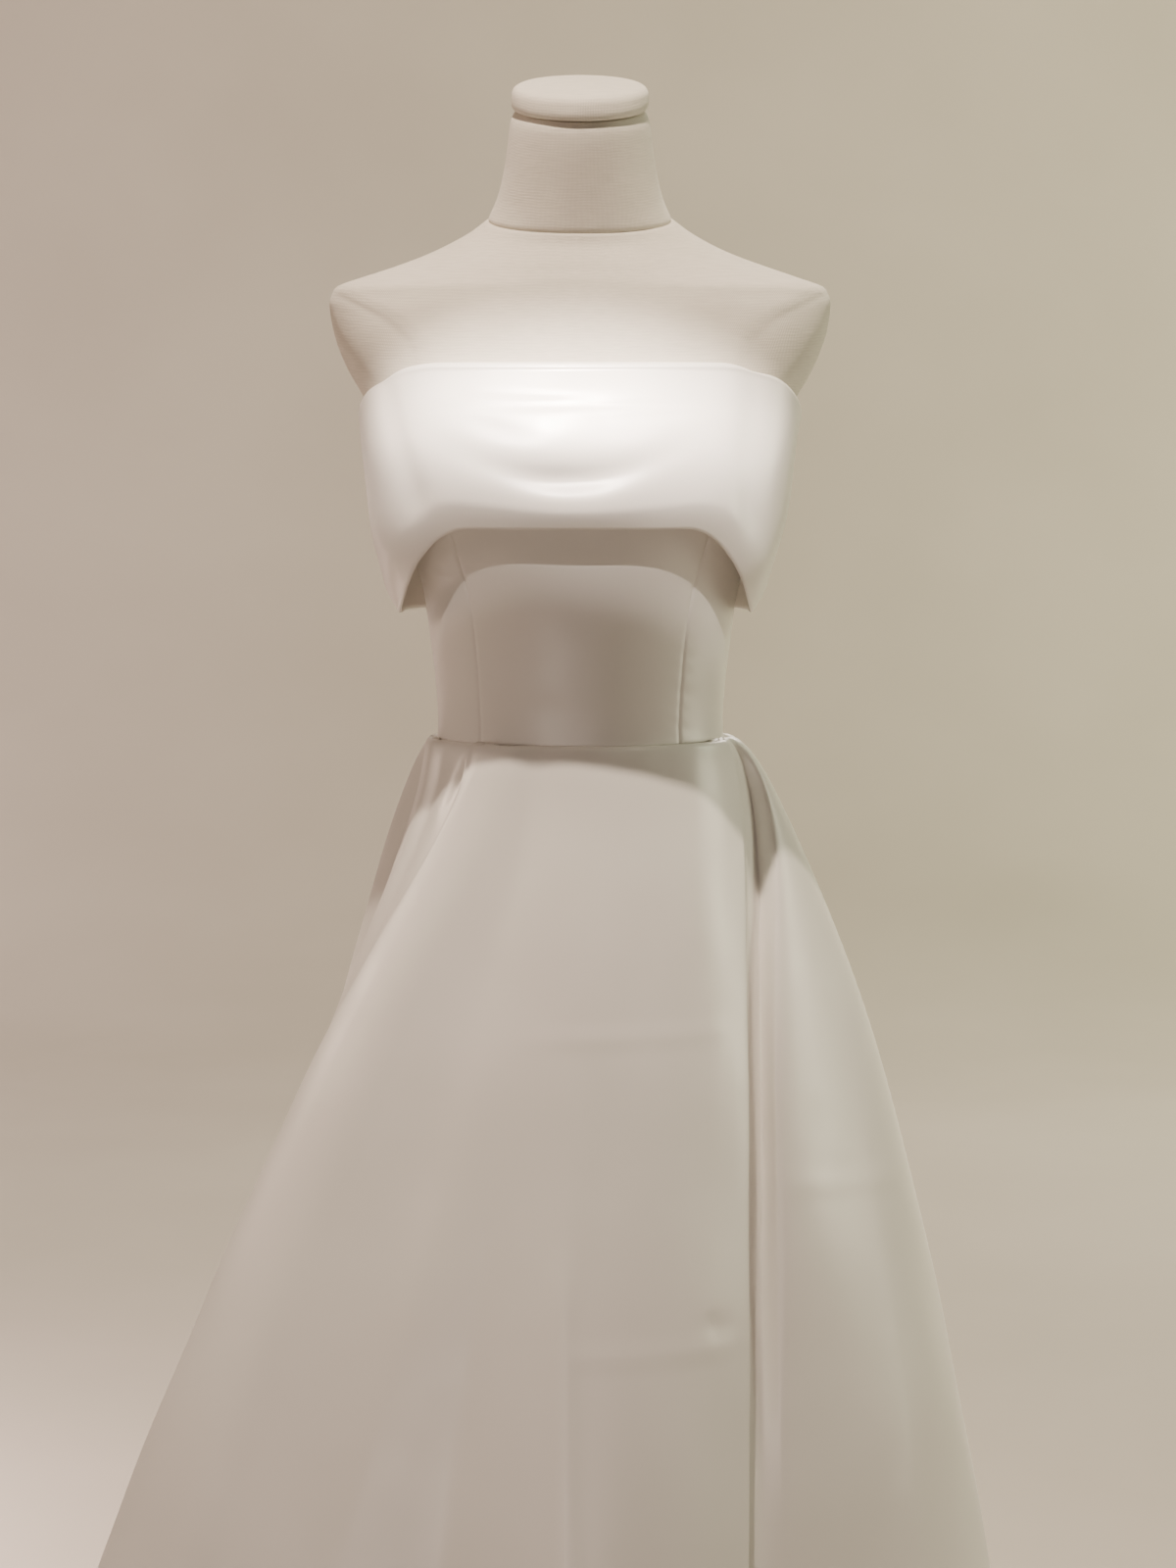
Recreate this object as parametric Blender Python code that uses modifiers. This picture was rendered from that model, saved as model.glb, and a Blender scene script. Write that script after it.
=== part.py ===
"""A strapless A-line gown on a limbless dress form, all at real size.

Metres, +Z up. The origin is on the floor, under the centre of the stand's base, and the front of
the gown faces -Y. Left and right are the wearer's: left is +X, which is on the viewer's right.
An angle round the body is 0 at the centre front, +90 at the left side and 180 at the centre back.
Cloth is a wall through horizontal sections, and each panel that a maker cuts is its own object.
"""
import math

import bmesh
import bpy
from mathutils import Vector

MM = 0.001

# Driving sizes of the gown
WAIST_Z = 1.060
HEM_Z = 0.015
SKIRT_CLOTH = 1.6 * MM
BODICE_CLOTH = 1.6 * MM
CUFF_CLOTH = 2.4 * MM
SEAM = 0.3 * MM
EASE = 0.6 * MM
SKIRT_LENGTH = WAIST_Z - HEM_Z

# The bodice's middle surface stands this far off the form
BODICE_MID = EASE + BODICE_CLOTH / 2

# The skirt's lowest layer starts at the waist this far off the form
SKIRT_MID = EASE + SKIRT_CLOTH / 2 + 0.8 * MM

# Seams of the bodice, as angles round the body
PRINCESS_ANGLE = 42.0
SIDE_ANGLE = 90.0
BACK_PRINCESS_ANGLE = 138.0

# The folded cuff round the top
NECKLINE_FRONT = 0.281
NECKLINE_SIDE_DROP = 0.035
NECKLINE_BACK_DROP = 0.020
CUFF_LOW_FRONT = 0.163
CUFF_LOW_DROP = 0.068
CUFF_ROLL = 4.2 * MM
CUFF_SIDE_ANGLE = 93.0
CUFF_BACK_GAP = 15.0 * MM

# The zip down the centre back
ZIP_WIDTH = 3.4 * MM
ZIP_BELOW_WAIST = 0.178

# The stand
BASE_RADIUS = 0.190
BASE_THICK = 0.012
POLE_RADIUS = 0.016
TORSO_BOTTOM = -0.300

# The form: one row for each section, all but the first two columns in metres.
# height is over the waist, tilt in degrees lowers the front of a section.
FORM_COLUMNS = ("height", "side", "front", "back", "centre", "round_front", "round_back", "tilt", "cleft")
FORM_ROWS = (
    (-0.300, 0.150, 0.098, 0.112, 0.000, 2.2, 2.3, 0.0, 0.00),
    (-0.250, 0.156, 0.102, 0.122, 0.000, 2.2, 2.3, 0.0, 0.00),
    (-0.200, 0.157, 0.104, 0.126, 0.000, 2.2, 2.3, 0.0, 0.00),
    (-0.100, 0.137, 0.096, 0.106, 0.000, 2.1, 2.2, 0.0, 0.00),
    (-0.050, 0.121, 0.089, 0.090, 0.000, 2.1, 2.1, 0.0, 0.00),
    (0.000, 0.1085, 0.083, 0.080, 0.000, 2.1, 2.1, 0.0, 0.00),
    (0.040, 0.1092, 0.085, 0.081, 0.000, 2.1, 2.1, 0.0, 0.00),
    (0.080, 0.1138, 0.090, 0.085, 0.000, 2.1, 2.1, 0.0, 0.00),
    (0.115, 0.1190, 0.099, 0.090, 0.000, 2.2, 2.1, 0.0, 0.01),
    (0.150, 0.1290, 0.115, 0.095, 0.000, 2.4, 2.1, 0.0, 0.04),
    (0.180, 0.1385, 0.127, 0.099, 0.001, 2.6, 2.2, 0.0, 0.07),
    (0.205, 0.1475, 0.132, 0.102, 0.002, 2.7, 2.2, 0.0, 0.08),
    (0.230, 0.1560, 0.129, 0.104, 0.004, 2.6, 2.2, 0.0, 0.05),
    (0.255, 0.1650, 0.120, 0.105, 0.006, 2.4, 2.2, 0.0, 0.02),
    (0.280, 0.1790, 0.110, 0.104, 0.008, 2.3, 2.2, 0.0, 0.00),
    (0.305, 0.1890, 0.099, 0.101, 0.009, 2.2, 2.1, 0.0, 0.00),
    (0.325, 0.1930, 0.090, 0.097, 0.010, 2.1, 2.0, 0.0, 0.00),
    (0.336, 0.1925, 0.085, 0.094, 0.010, 2.0, 2.0, 1.0, 0.00),
    (0.344, 0.1860, 0.081, 0.090, 0.010, 2.0, 1.9, 2.0, 0.00),
    (0.351, 0.1660, 0.078, 0.087, 0.010, 1.9, 1.9, 3.5, 0.00),
    (0.358, 0.1440, 0.074, 0.084, 0.010, 1.9, 1.9, 5.0, 0.00),
    (0.366, 0.1220, 0.070, 0.079, 0.010, 1.9, 1.9, 7.0, 0.00),
    (0.374, 0.1030, 0.064, 0.073, 0.009, 1.9, 1.9, 9.0, 0.00),
    (0.3835, 0.0845, 0.058, 0.066, 0.009, 2.0, 2.0, 11.5, 0.00),
    (0.393, 0.0710, 0.054, 0.060, 0.008, 2.0, 2.0, 13.5, 0.00),
)


def smoothstep(value):
    value = min(max(value, 0.0), 1.0)
    return value * value * (3 - 2 * value)


def form_row(height):
    """The form's sizes at a height over the waist, as a smooth curve through the table's rows."""
    rows = FORM_ROWS
    height = min(max(height, rows[0][0]), rows[-1][0])
    i = max(k for k in range(len(rows) - 1) if rows[k][0] <= height)
    before, low, high = rows[max(i - 1, 0)], rows[i], rows[i + 1]
    after = rows[min(i + 2, len(rows) - 1)]
    span = high[0] - low[0]
    u = (height - low[0]) / span
    values = {}
    for k, name in enumerate(FORM_COLUMNS):
        slope_low = (high[k] - before[k]) / max(high[0] - before[0], 1e-9) * span
        slope_high = (after[k] - low[k]) / max(after[0] - low[0], 1e-9) * span
        values[name] = (
            low[k] * (1 + 2 * u) * (1 - u) ** 2
            + slope_low * u * (1 - u) ** 2
            + high[k] * u * u * (3 - 2 * u)
            - slope_high * u * u * (1 - u)
        )
    values["height"] = height
    return values


def oval_point(angle, side, front, back, centre, round_front, round_back, cleft=0.0):
    """A point (x, y) of an oval section at an angle round the body."""
    a = math.radians(angle)
    s, c = math.sin(a), math.cos(a)
    power = 2 / (round_front if c > 0 else round_back)
    x = side * math.copysign(abs(s) ** power, s)
    depth = abs(c) ** power
    if c > 0:
        hollow = 1 - cleft * math.exp(-((angle / 22) ** 2))
        return x, centre - front * depth * hollow
    return x, centre + back * depth


def form_point(angle, height, grow=0.0):
    """A point of the form's surface, or of a surface that stands off it by grow."""
    row = form_row(height)
    x, y = oval_point(
        angle,
        row["side"] + grow,
        row["front"] + grow,
        row["back"] + grow,
        row["centre"],
        row["round_front"],
        row["round_back"],
        row["cleft"],
    )
    lean = (y - row["centre"]) * math.tan(math.radians(row["tilt"]))
    return Vector((x, y, WAIST_Z + height + lean))


def neckline(angle):
    """Height over the waist of the bodice's top edge."""
    away = abs(angle)
    side = smoothstep((away - 30) / 65)
    back = smoothstep((away - 95) / 85)
    return NECKLINE_FRONT - NECKLINE_SIDE_DROP * side - NECKLINE_BACK_DROP * back


def cuff_low(angle):
    """Height over the waist of the cuff's lower edge."""
    return CUFF_LOW_FRONT - CUFF_LOW_DROP * smoothstep((abs(angle) - 27) / 63)


# The skirt: where the lowest layer of cloth runs at four depths under the waist seam.
# Each row is a line down the skirt: its angle at the waist, then x and y in millimetres.
SKIRT_DEPTHS = (0.063, 0.262, 0.629, 1.048)
SKIRT_ROWS = (
    # name, angle, x1, y1, x2, y2, x3, y3, x4, y4
    ("centre_back", 180, 0, 113, 0, 190, 0, 315, 0, 430),
    ("back_l", 156, 52, 106, 72, 180, 115, 298, 158, 405),
    ("back_pleat_l", 133, 104, 82, 137, 140, 192, 225, 242, 312),
    ("quarter_l", 113, 143, 48, 200, 76, 268, 118, 328, 165),
    ("side_l", 97, 159, 14, 235, 14, 321, 18, 386, 28),
    ("side_front_l", 90, 157, -8, 208, -64, 260, -138, 298, -192),
    ("ridge_l", 84, 147, -24, 146, -122, 150, -204, 160, -266),
    ("recess_l", 80, 133, -18, 136, -100, 134, -210, 140, -274),
    ("strip_l", 76, 124, -41, 124, -118, 122, -215, 122, -280),
    ("front_pleat_l", 72, 117, -50, 117, -133, 112, -222, 106, -284),
    ("front_side_l", 50, 84, -90, 84, -159, 76, -258, 66, -318),
    ("front_mid_l", 26, 46, -107, 44, -179, 38, -281, 30, -347),
    ("centre_front", -3, -4, -112, -8, -187, -12, -289, -16, -354),
    ("valley", -12, -22, -110, -53, -180, -108, -259, -165, -312),
    ("fold", -20, -42, -105, -87, -172, -186, -258, -290, -322),
    ("front_side_r", -28, -62, -100, -145, -148, -268, -209, -388, -252),
    ("front_pleat_r", -42, -99, -84, -202, -114, -344, -147, -473, -179),
    ("side_valley_r", -57, -115, -64, -202, -78, -340, -104, -466, -124),
    ("side_front_r", -72, -122, -44, -198, -48, -332, -62, -455, -75),
    ("side_pleat_r", -86, -125, -22, -192, -18, -312, -20, -426, -22),
    ("side_r", -101, -144, 14, -203, 34, -306, 58, -404, 82),
    ("quarter_r", -116, -138, 52, -188, 92, -263, 148, -338, 200),
    ("back_pleat_r", -134, -104, 84, -138, 146, -190, 236, -240, 322),
    ("back_r", -157, -52, 107, -73, 183, -117, 302, -162, 410),
)
ROW_AT = {row[0]: i for i, row in enumerate(SKIRT_ROWS)}

# Knife pleats: the row each fold lies on, the way the fold points along the rows, at the hem the
# space between layers and the width folded under, and how far the top layer takes to come down.
PLEAT_COLUMNS = ("row", "points", "space", "under", "rise")
PLEATS = {
    "back_l": ("back_pleat_l", 1, 0.016, 0.060, 2.4),
    "front_l": ("front_pleat_l", -1, 0.0085, 0.046, 4.0),
    "front_r": ("front_pleat_r", 1, 0.018, 0.070, 3.2),
    "side_r": ("side_pleat_r", 1, 0.015, 0.050, 1.9),
    "back_r": ("back_pleat_r", -1, 0.016, 0.060, 2.4),
}
PLEAT_SPACE = 2.6 * MM
PLEAT_UNDER = 15.0 * MM

# Depths of the skirt's sections, closer together near the waist
SKIRT_LEVELS = tuple((i / 12) ** 2 for i in range(13))
FINE = 20


def hermite(knots, values, at):
    """A smooth curve through values at knots."""
    i = max(k for k in range(len(knots) - 1) if knots[k] <= at or k == 0)
    span = knots[i + 1] - knots[i]
    u = (at - knots[i]) / span

    def slope(k):
        a, b = max(k - 1, 0), min(k + 1, len(knots) - 1)
        return (values[b] - values[a]) / (knots[b] - knots[a]) * span

    return (
        values[i] * (1 + 2 * u) * (1 - u) ** 2
        + slope(i) * u * (1 - u) ** 2
        + values[i + 1] * u * u * (3 - 2 * u)
        - slope(i + 1) * u * u * (1 - u)
    )


def skirt_row_point(row, t):
    """Where a row's line is at a share t of the skirt's length."""
    start = form_point(row[1], 0.0, SKIRT_MID)
    knots = [0.0] + [math.sqrt(depth / SKIRT_LENGTH) for depth in SKIRT_DEPTHS]
    xs = [start.x] + [value * MM for value in row[2::2]]
    ys = [start.y] + [value * MM for value in row[3::2]]
    at = math.sqrt(t)
    return Vector((hermite(knots, xs, at), hermite(knots, ys, at)))


def curve_point(before, start, end, after, u):
    """A point of the smooth curve from start to end, without loops where the rows are close."""
    points = [before, start, end, after]
    knots = [0.0]
    for a, b in zip(points, points[1:]):
        knots.append(knots[-1] + math.sqrt(max((b - a).length, 1e-6)))
    at = knots[1] + (knots[2] - knots[1]) * u
    while len(points) > 1:
        step = 4 - len(points) + 1
        points = [
            a + (b - a) * ((at - knots[i]) / (knots[i + step] - knots[i]))
            for i, (a, b) in enumerate(zip(points, points[1:]))
        ]
    return points[0]


class Section:
    """The skirt's lowest layer at one depth: a closed curve measured along its length."""

    def __init__(self, t):
        self.t = t
        rows = [skirt_row_point(row, t) for row in SKIRT_ROWS]
        count = len(rows)
        self.points = []
        for i in range(-2, count + 2):
            for k in range(FINE):
                corners = [rows[(i + j) % count] for j in (-1, 0, 1, 2)]
                self.points.append(curve_point(*corners, k / FINE))
        self.lengths = [0.0]
        for a, b in zip(self.points, self.points[1:]):
            self.lengths.append(self.lengths[-1] + (b - a).length)

    def length_at(self, row):
        """The length along the curve at a row, where 1.5 is half way from row 1 to row 2."""
        at = (row + 2) * FINE
        i = min(int(at), len(self.lengths) - 2)
        return self.lengths[i] + (self.lengths[i + 1] - self.lengths[i]) * (at - i)

    def frame_at(self, length):
        """The point, the direction along the curve and the outward direction at a length."""
        i = max(k for k in range(0, len(self.lengths) - 1) if self.lengths[k] <= length)
        share = (length - self.lengths[i]) / (self.lengths[i + 1] - self.lengths[i])
        point = self.points[i].lerp(self.points[i + 1], share)
        low, high = max(i - 3, 0), min(i + 4, len(self.points) - 1)
        along = (self.points[high] - self.points[low]).normalized()
        return point, along, Vector((-along.y, along.x))

    def pleat(self, name):
        """A pleat's sizes at this depth: its length along the curve, direction, space and width."""
        row, points, space, under, _ = PLEATS[name]
        grown = self.t
        return (
            self.length_at(ROW_AT[row]),
            points,
            PLEAT_SPACE + (space - PLEAT_SPACE) * grown,
            PLEAT_UNDER + (under - PLEAT_UNDER) * grown,
        )

    def raised(self, length, pleats):
        """How far an upper layer stands off the lowest one, near the pleats at its ends."""
        rise = 0.0
        for name in pleats:
            fold, points, space, under = self.pleat(name)
            away = (fold - length) * points
            near = under + 1.5 * space
            reach = PLEATS[name][4]
            rise = max(rise, 2 * space * smoothstep((reach * near - away) / ((reach - 1) * near)))
        return rise


def anchor_length(section, anchor):
    """The length along the curve at a row's name, or at (pleat, share of its width under)."""
    if anchor == "centre_back_end":
        return section.length_at(len(SKIRT_ROWS))
    if anchor in ROW_AT:
        return section.length_at(ROW_AT[anchor])
    fold, points, _, under = section.pleat(anchor[0])
    return fold - points * anchor[1] * under


def face_column(start, end, share, upper_of=(), shift=None):
    """A column on a panel's open face, part of the way from one anchor to the next."""

    def at(section):
        low, high = anchor_length(section, start), anchor_length(section, end)
        length = low + (high - low) * share + (shift(section) if shift else 0.0)
        point, _, out = section.frame_at(length)
        return point + out * section.raised(length, upper_of)

    return at


def pleat_column(name, share, height, bend=0.0, shift=0.0):
    """A column inside a pleat: its share of the width under, its height in spaces, its bend."""

    def at(section):
        fold, points, space, under = section.pleat(name)
        point, along, out = section.frame_at(fold - points * (share * under - shift))
        return point + out * (height * space) + along * (points * bend * space / 2)

    return at


def turn(name, share, middle, way, steps=4):
    """The columns of a pleat's rounded fold, from its upper layer to its lower one."""
    columns = []
    for i in range(steps + 1):
        angle = math.pi * i / steps
        columns.append(pleat_column(name, share, middle + math.cos(angle) / 2, way * math.sin(angle)))
    return columns


def upper_fold(name):
    """The visible fold of a pleat and half of its return, up to the seam inside."""
    return [pleat_column(name, 0.6, 2.0)] + turn(name, 0.0, 1.5, 1) + [pleat_column(name, 0.5, 1.0, shift=SEAM / 2)]


def lower_fold(name):
    """The rest of a pleat's return, the fold inside, and the layer that lies lowest."""
    seam = pleat_column(name, 0.5, 1.0, shift=-SEAM / 2)
    return [seam] + turn(name, 1.0, 0.5, -1) + [pleat_column(name, 0.5, 0.0)]


def face(anchors, upper_of=()):
    """Columns over an open face through its anchors, each given with the pieces to the next."""
    columns = []
    for (start, pieces), (end, _) in zip(anchors, anchors[1:]):
        for k in range(pieces):
            columns.append(face_column(start, end, k / pieces, upper_of))
    columns.append(face_column(anchors[-2][0], anchors[-1][0], 1.0, upper_of))
    return columns


def back_opening(side):
    """A shift that keeps the centre back edges clear of the zip, and closes under it."""

    def shift(section):
        below = smoothstep((section.t * SKIRT_LENGTH - ZIP_BELOW_WAIST - 0.005) / 0.020)
        return side * (ZIP_WIDTH / 2 + SEAM + (SEAM / 2 - ZIP_WIDTH / 2 - SEAM) * below)

    return shift


def seam_shift(side):
    return lambda section: side * SEAM / 2


def skirt_panels():
    """The seven panels of the skirt, each as its columns in order round the body."""
    back_l = [face_column("centre_back", "back_l", 0.0, (), back_opening(1))]
    back_l += face([("centre_back", 3), ("back_l", 2), (("back_l", 1.1), 1)], ("back_l",))[1:]
    back_l += upper_fold("back_l")
    side_back_l = lower_fold("back_l")
    side_back_l += face([("back_pleat_l", 3), ("quarter_l", 3), ("side_l", 1)])
    side_back_l[-1] = face_column("quarter_l", "side_l", 1.0, (), seam_shift(-1))
    side_l = [face_column("side_l", "side_front_l", 0.0, (), seam_shift(1))]
    side_l += face([("side_l", 4), ("side_front_l", 3), ("ridge_l", 2), ("recess_l", 2), ("strip_l", 1), ("front_pleat_l", 1)])[1:]
    side_l += lower_fold("front_l")[::-1]
    front = upper_fold("front_l")[::-1]
    front += face(
        [(("front_l", 1.1), 3), ("front_mid_l", 3), ("centre_front", 2), ("valley", 2), ("fold", 2)]
        + [("front_side_r", 2), (("front_r", 1.1), 1)],
        ("front_l", "front_r"),
    )
    front += upper_fold("front_r")
    side_r = lower_fold("front_r")
    side_r += face([("front_pleat_r", 2), ("side_valley_r", 2), (("side_r", 1.1), 1)], ("side_r",))
    side_r += upper_fold("side_r")
    side_back_r = lower_fold("side_r")
    side_back_r += face([("side_pleat_r", 2), ("side_r", 3), ("quarter_r", 3), ("back_pleat_r", 1)])
    side_back_r += lower_fold("back_r")[::-1]
    back_r = upper_fold("back_r")[::-1]
    back_r += face([(("back_r", 1.1), 2), ("back_r", 3), ("centre_back_end", 1)], ("back_r",))
    back_r[-1] = face_column("back_r", "centre_back_end", 1.0, (), back_opening(-1))
    return {
        "skirt_back_left": back_l,
        "skirt_side_back_left": side_back_l,
        "skirt_side_left": side_l,
        "skirt_front": front,
        "skirt_side_right": side_r,
        "skirt_side_back_right": side_back_r,
        "skirt_back_right": back_r,
    }


def section_normals(points):
    """The outward direction at each point of an open line, longer at a corner to keep its thickness."""
    ways = [(b - a).normalized() for a, b in zip(points, points[1:])]
    sides = [Vector((-way.y, way.x)) for way in ways]
    normals = [sides[0]]
    for a, b in zip(sides, sides[1:]):
        middle = (a + b).normalized()
        normals.append(middle / max(middle.dot(a), 0.8))
    normals.append(sides[-1])
    return normals


def skirt_grids(panels, levels, cloth):
    """For each panel the outer and inner grids of points, a row for each level."""
    sections = [Section(t) for t in levels]
    columns = [column for panel in panels.values() for column in panel]
    middle = [[column(section) for column in columns] for section in sections]
    heights = [WAIST_Z - SEAM / 2 - (SKIRT_LENGTH - SEAM / 2) * t for t in levels]
    outer, inner = [], []
    for i, points in enumerate(middle):
        up, down = max(i - 1, 0), min(i + 1, len(levels) - 1)
        rise = heights[up] - heights[down]
        outer.append([])
        inner.append([])
        for j, normal in enumerate(section_normals(points)):
            lean = (middle[down][j] - middle[up][j]).dot(normal) / rise
            half = cloth / 2 * (1.0 if i == 0 else math.sqrt(1 + min(abs(lean), 0.8) ** 2))
            for grid, way in ((outer, 1), (inner, -1)):
                flat = points[j] + normal * (half * way)
                grid[-1].append(Vector((flat.x, flat.y, heights[i])))
    grids = {}
    start = 0
    for name, panel in panels.items():
        end = start + len(panel)
        grids[name] = ([row[start:end] for row in outer], [row[start:end] for row in inner])
        start = end
    return grids


def spread(start, end, count):
    return [start + (end - start) * i / count for i in range(count + 1)]


def angle_at(x, height, grow):
    """The angle at the back where a section is x from the centre line."""
    row = form_row(height)
    return 180 - math.degrees(math.asin((x / (row["side"] + grow)) ** (row["round_back"] / 2)))


# Bodice panels as their first and last angle, and the cut between them
BODICE_PANELS = {
    "bodice_back_right": (-180.0, -BACK_PRINCESS_ANGLE),
    "bodice_side_back_right": (-BACK_PRINCESS_ANGLE, -SIDE_ANGLE),
    "bodice_side_front_right": (-SIDE_ANGLE, -PRINCESS_ANGLE),
    "bodice_front": (-PRINCESS_ANGLE, PRINCESS_ANGLE),
    "bodice_side_front_left": (PRINCESS_ANGLE, SIDE_ANGLE),
    "bodice_side_back_left": (SIDE_ANGLE, BACK_PRINCESS_ANGLE),
    "bodice_back_left": (BACK_PRINCESS_ANGLE, 180.0),
}
SEAM_ANGLE = 0.075
BODICE_LEVELS = (0.0, 0.040, 0.080, 0.115, 0.1325, 0.150, 0.165, 0.180)
BODICE_UPPER = 8


def bodice_height(angle, level):
    """The height of one of the bodice's levels: the upper ones follow the neckline."""
    if level < len(BODICE_LEVELS):
        return max(BODICE_LEVELS[level], SEAM / 2)
    share = (level - len(BODICE_LEVELS) + 1) / BODICE_UPPER
    return BODICE_LEVELS[-1] + (neckline(angle) - BODICE_LEVELS[-1]) * share


def bodice_grids(first, last):
    """The outer and inner grids of a bodice panel, which lies closely over the form."""
    pieces = 8 if last - first > 60 else 4
    outer, inner = [], []
    for level in range(len(BODICE_LEVELS) + BODICE_UPPER):
        rows = ([], [])
        for angle in spread(first, last, pieces):
            height = bodice_height(angle, level)
            used = angle
            if angle == first:
                used = angle + SEAM_ANGLE
            if angle == last:
                used = angle - SEAM_ANGLE
            if abs(angle) == 180:
                edge = angle_at(ZIP_WIDTH / 2 + SEAM, height, EASE)
                used = math.copysign(edge, angle)
            rows[0].append(form_point(used, height, EASE + BODICE_CLOTH))
            rows[1].append(form_point(used, height, EASE))
        outer.append(rows[0])
        inner.append(rows[1])
    return outer, inner


# The lower edge of the cuff, as an oval that stands clear of the bodice
CUFF_LOW = {"right": 0.1435, "left": 0.1365, "front": 0.138, "back": 0.118, "round_front": 2.9, "round_back": 2.3}
CUFF_BULGE = 0.0105
CUFF_TURNS = 3
CUFF_DROPS = 6


def cuff_middle(angle, step):
    """A point of the cuff's middle surface: over the bodice's top edge, then down outside it."""
    top = neckline(angle) + SEAM + CUFF_CLOTH / 2 + 0.3 * MM
    if step <= CUFF_TURNS:
        bend = math.pi / 2 * step / CUFF_TURNS
        grow = 1.3 * MM + CUFF_ROLL * math.sin(bend)
        point = form_point(angle, neckline(angle), grow)
        point.z = WAIST_Z + top - CUFF_ROLL * (1 - math.cos(bend))
        return point
    start = cuff_middle(angle, CUFF_TURNS)
    low = CUFF_LOW
    side = low["left"] if angle > 0 else low["right"]
    x, y = oval_point(angle, side, low["front"], low["back"], 0.0, low["round_front"], low["round_back"])
    end = Vector((x, y, WAIST_Z + cuff_low(angle)))
    share = (step - CUFF_TURNS) / CUFF_DROPS
    out = Vector((math.sin(math.radians(angle)), -math.cos(math.radians(angle)), 0))
    full = max(math.cos(math.radians(angle)), 0.0) ** 0.5
    return start.lerp(end, share) + out * (CUFF_BULGE * full * math.sin(math.pi * share))


def cuff_grids(first, last):
    """The outer and inner grids of a piece of the cuff."""
    angles = [angle for angle in FORM_ANGLES if first <= angle <= last]
    if last == 180.0:
        angles.append(last)
    for i, angle in ((0, first), (-1, last)):
        if abs(angle) == 180:
            angles[i] = math.copysign(angle_at(CUFF_BACK_GAP / 2, 0.2, 4 * MM), angle)
        else:
            angles[i] += SEAM_ANGLE if i == 0 else -SEAM_ANGLE
    rows = [[cuff_middle(angle, step) for angle in angles] for step in range(CUFF_TURNS + CUFF_DROPS + 1)]
    return offset_grids(rows, CUFF_CLOTH)


def offset_grids(rows, cloth):
    """Grids half the cloth's thickness out and in from rows of points that run downwards."""
    outer, inner = [], []
    for i, row in enumerate(rows):
        outer.append([])
        inner.append([])
        for j, point in enumerate(row):
            down = rows[min(i + 1, len(rows) - 1)][j] - rows[max(i - 1, 0)][j]
            along = row[min(j + 1, len(row) - 1)] - row[max(j - 1, 0)]
            normal = down.cross(along).normalized()
            outer[-1].append(point + normal * (cloth / 2))
            inner[-1].append(point - normal * (cloth / 2))
    return outer, inner


def clear_scene():
    for obj in list(bpy.data.objects):
        bpy.data.objects.remove(obj, do_unlink=True)


def new_collection(name, hidden=False):
    collection = bpy.data.collections.new(name)
    bpy.context.scene.collection.children.link(collection)
    collection.hide_render = hidden
    return collection


def new_material(name, colour, metallic, roughness):
    material = bpy.data.materials.new(name)
    material.use_nodes = True
    shader = material.node_tree.nodes["Principled BSDF"]
    shader.inputs["Base Color"].default_value = (*colour, 1.0)
    shader.inputs["Metallic"].default_value = metallic
    shader.inputs["Roughness"].default_value = roughness
    material.diffuse_color = (*colour, 1.0)
    return material


def mesh_object(name, collection, material, points, triangles):
    """A closed mesh with its faces turned outwards."""
    mesh = bpy.data.meshes.new(name)
    mesh.from_pydata([tuple(point) for point in points], [], triangles)
    mesh.update()
    shape = bmesh.new()
    shape.from_mesh(mesh)
    bmesh.ops.recalc_face_normals(shape, faces=shape.faces)
    shape.to_mesh(mesh)
    shape.free()
    obj = bpy.data.objects.new(name, mesh)
    mesh.materials.append(material)
    mesh.shade_smooth()
    mesh.set_sharp_from_angle(angle=math.radians(40))
    collection.objects.link(obj)
    return obj


def wall(name, collection, material, grids):
    """A sheet of cloth with thickness: two grids of points joined round their edges."""
    outer, inner = grids
    height, width = len(outer), len(outer[0])
    points = [point for row in outer for point in row] + [point for row in inner for point in row]
    back = height * width
    triangles = []
    for i in range(height - 1):
        for j in range(width - 1):
            a, b = i * width + j, i * width + j + 1
            c, d = a + width, b + width
            triangles += [(a, d, b), (a, c, d), (back + a, back + b, back + d), (back + a, back + d, back + c)]
    edges = [(j, j + 1) for j in range(width - 1)]
    edges += [(back - width + j + 1, back - width + j) for j in range(width - 1)]
    edges += [((i + 1) * width, i * width) for i in range(height - 1)]
    edges += [((i + 1) * width - 1, (i + 2) * width - 1) for i in range(height - 1)]
    for a, b in edges:
        triangles += [(a, b, back + b), (a, back + b, back + a)]
    return mesh_object(name, collection, material, points, triangles)


def turned_solid(name, collection, material, rings):
    """A solid through closed rings of points, with a flat face at each end."""
    count = len(rings[0])
    points = [point for ring in rings for point in ring]
    triangles = []
    for i in range(len(rings) - 1):
        for j in range(count):
            a, b = i * count + j, i * count + (j + 1) % count
            triangles += [(a, a + count, b + count), (a, b + count, b)]
    for base in (0, (len(rings) - 1) * count):
        middle = sum((points[base + j] for j in range(count)), Vector()) / count
        points.append(middle)
        for j in range(count):
            triangles.append((base + j, base + (j + 1) % count, len(points) - 1))
    return mesh_object(name, collection, material, points, triangles)


FORM_ANGLES = (
    spread(-180.0, -BACK_PRINCESS_ANGLE, 4)[:-1]
    + spread(-BACK_PRINCESS_ANGLE, -SIDE_ANGLE, 4)[:-1]
    + spread(-SIDE_ANGLE, -PRINCESS_ANGLE, 4)[:-1]
    + spread(-PRINCESS_ANGLE, PRINCESS_ANGLE, 8)[:-1]
    + spread(PRINCESS_ANGLE, SIDE_ANGLE, 4)[:-1]
    + spread(SIDE_ANGLE, BACK_PRINCESS_ANGLE, 4)[:-1]
    + spread(BACK_PRINCESS_ANGLE, 180.0, 4)[:-1]
)


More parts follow.
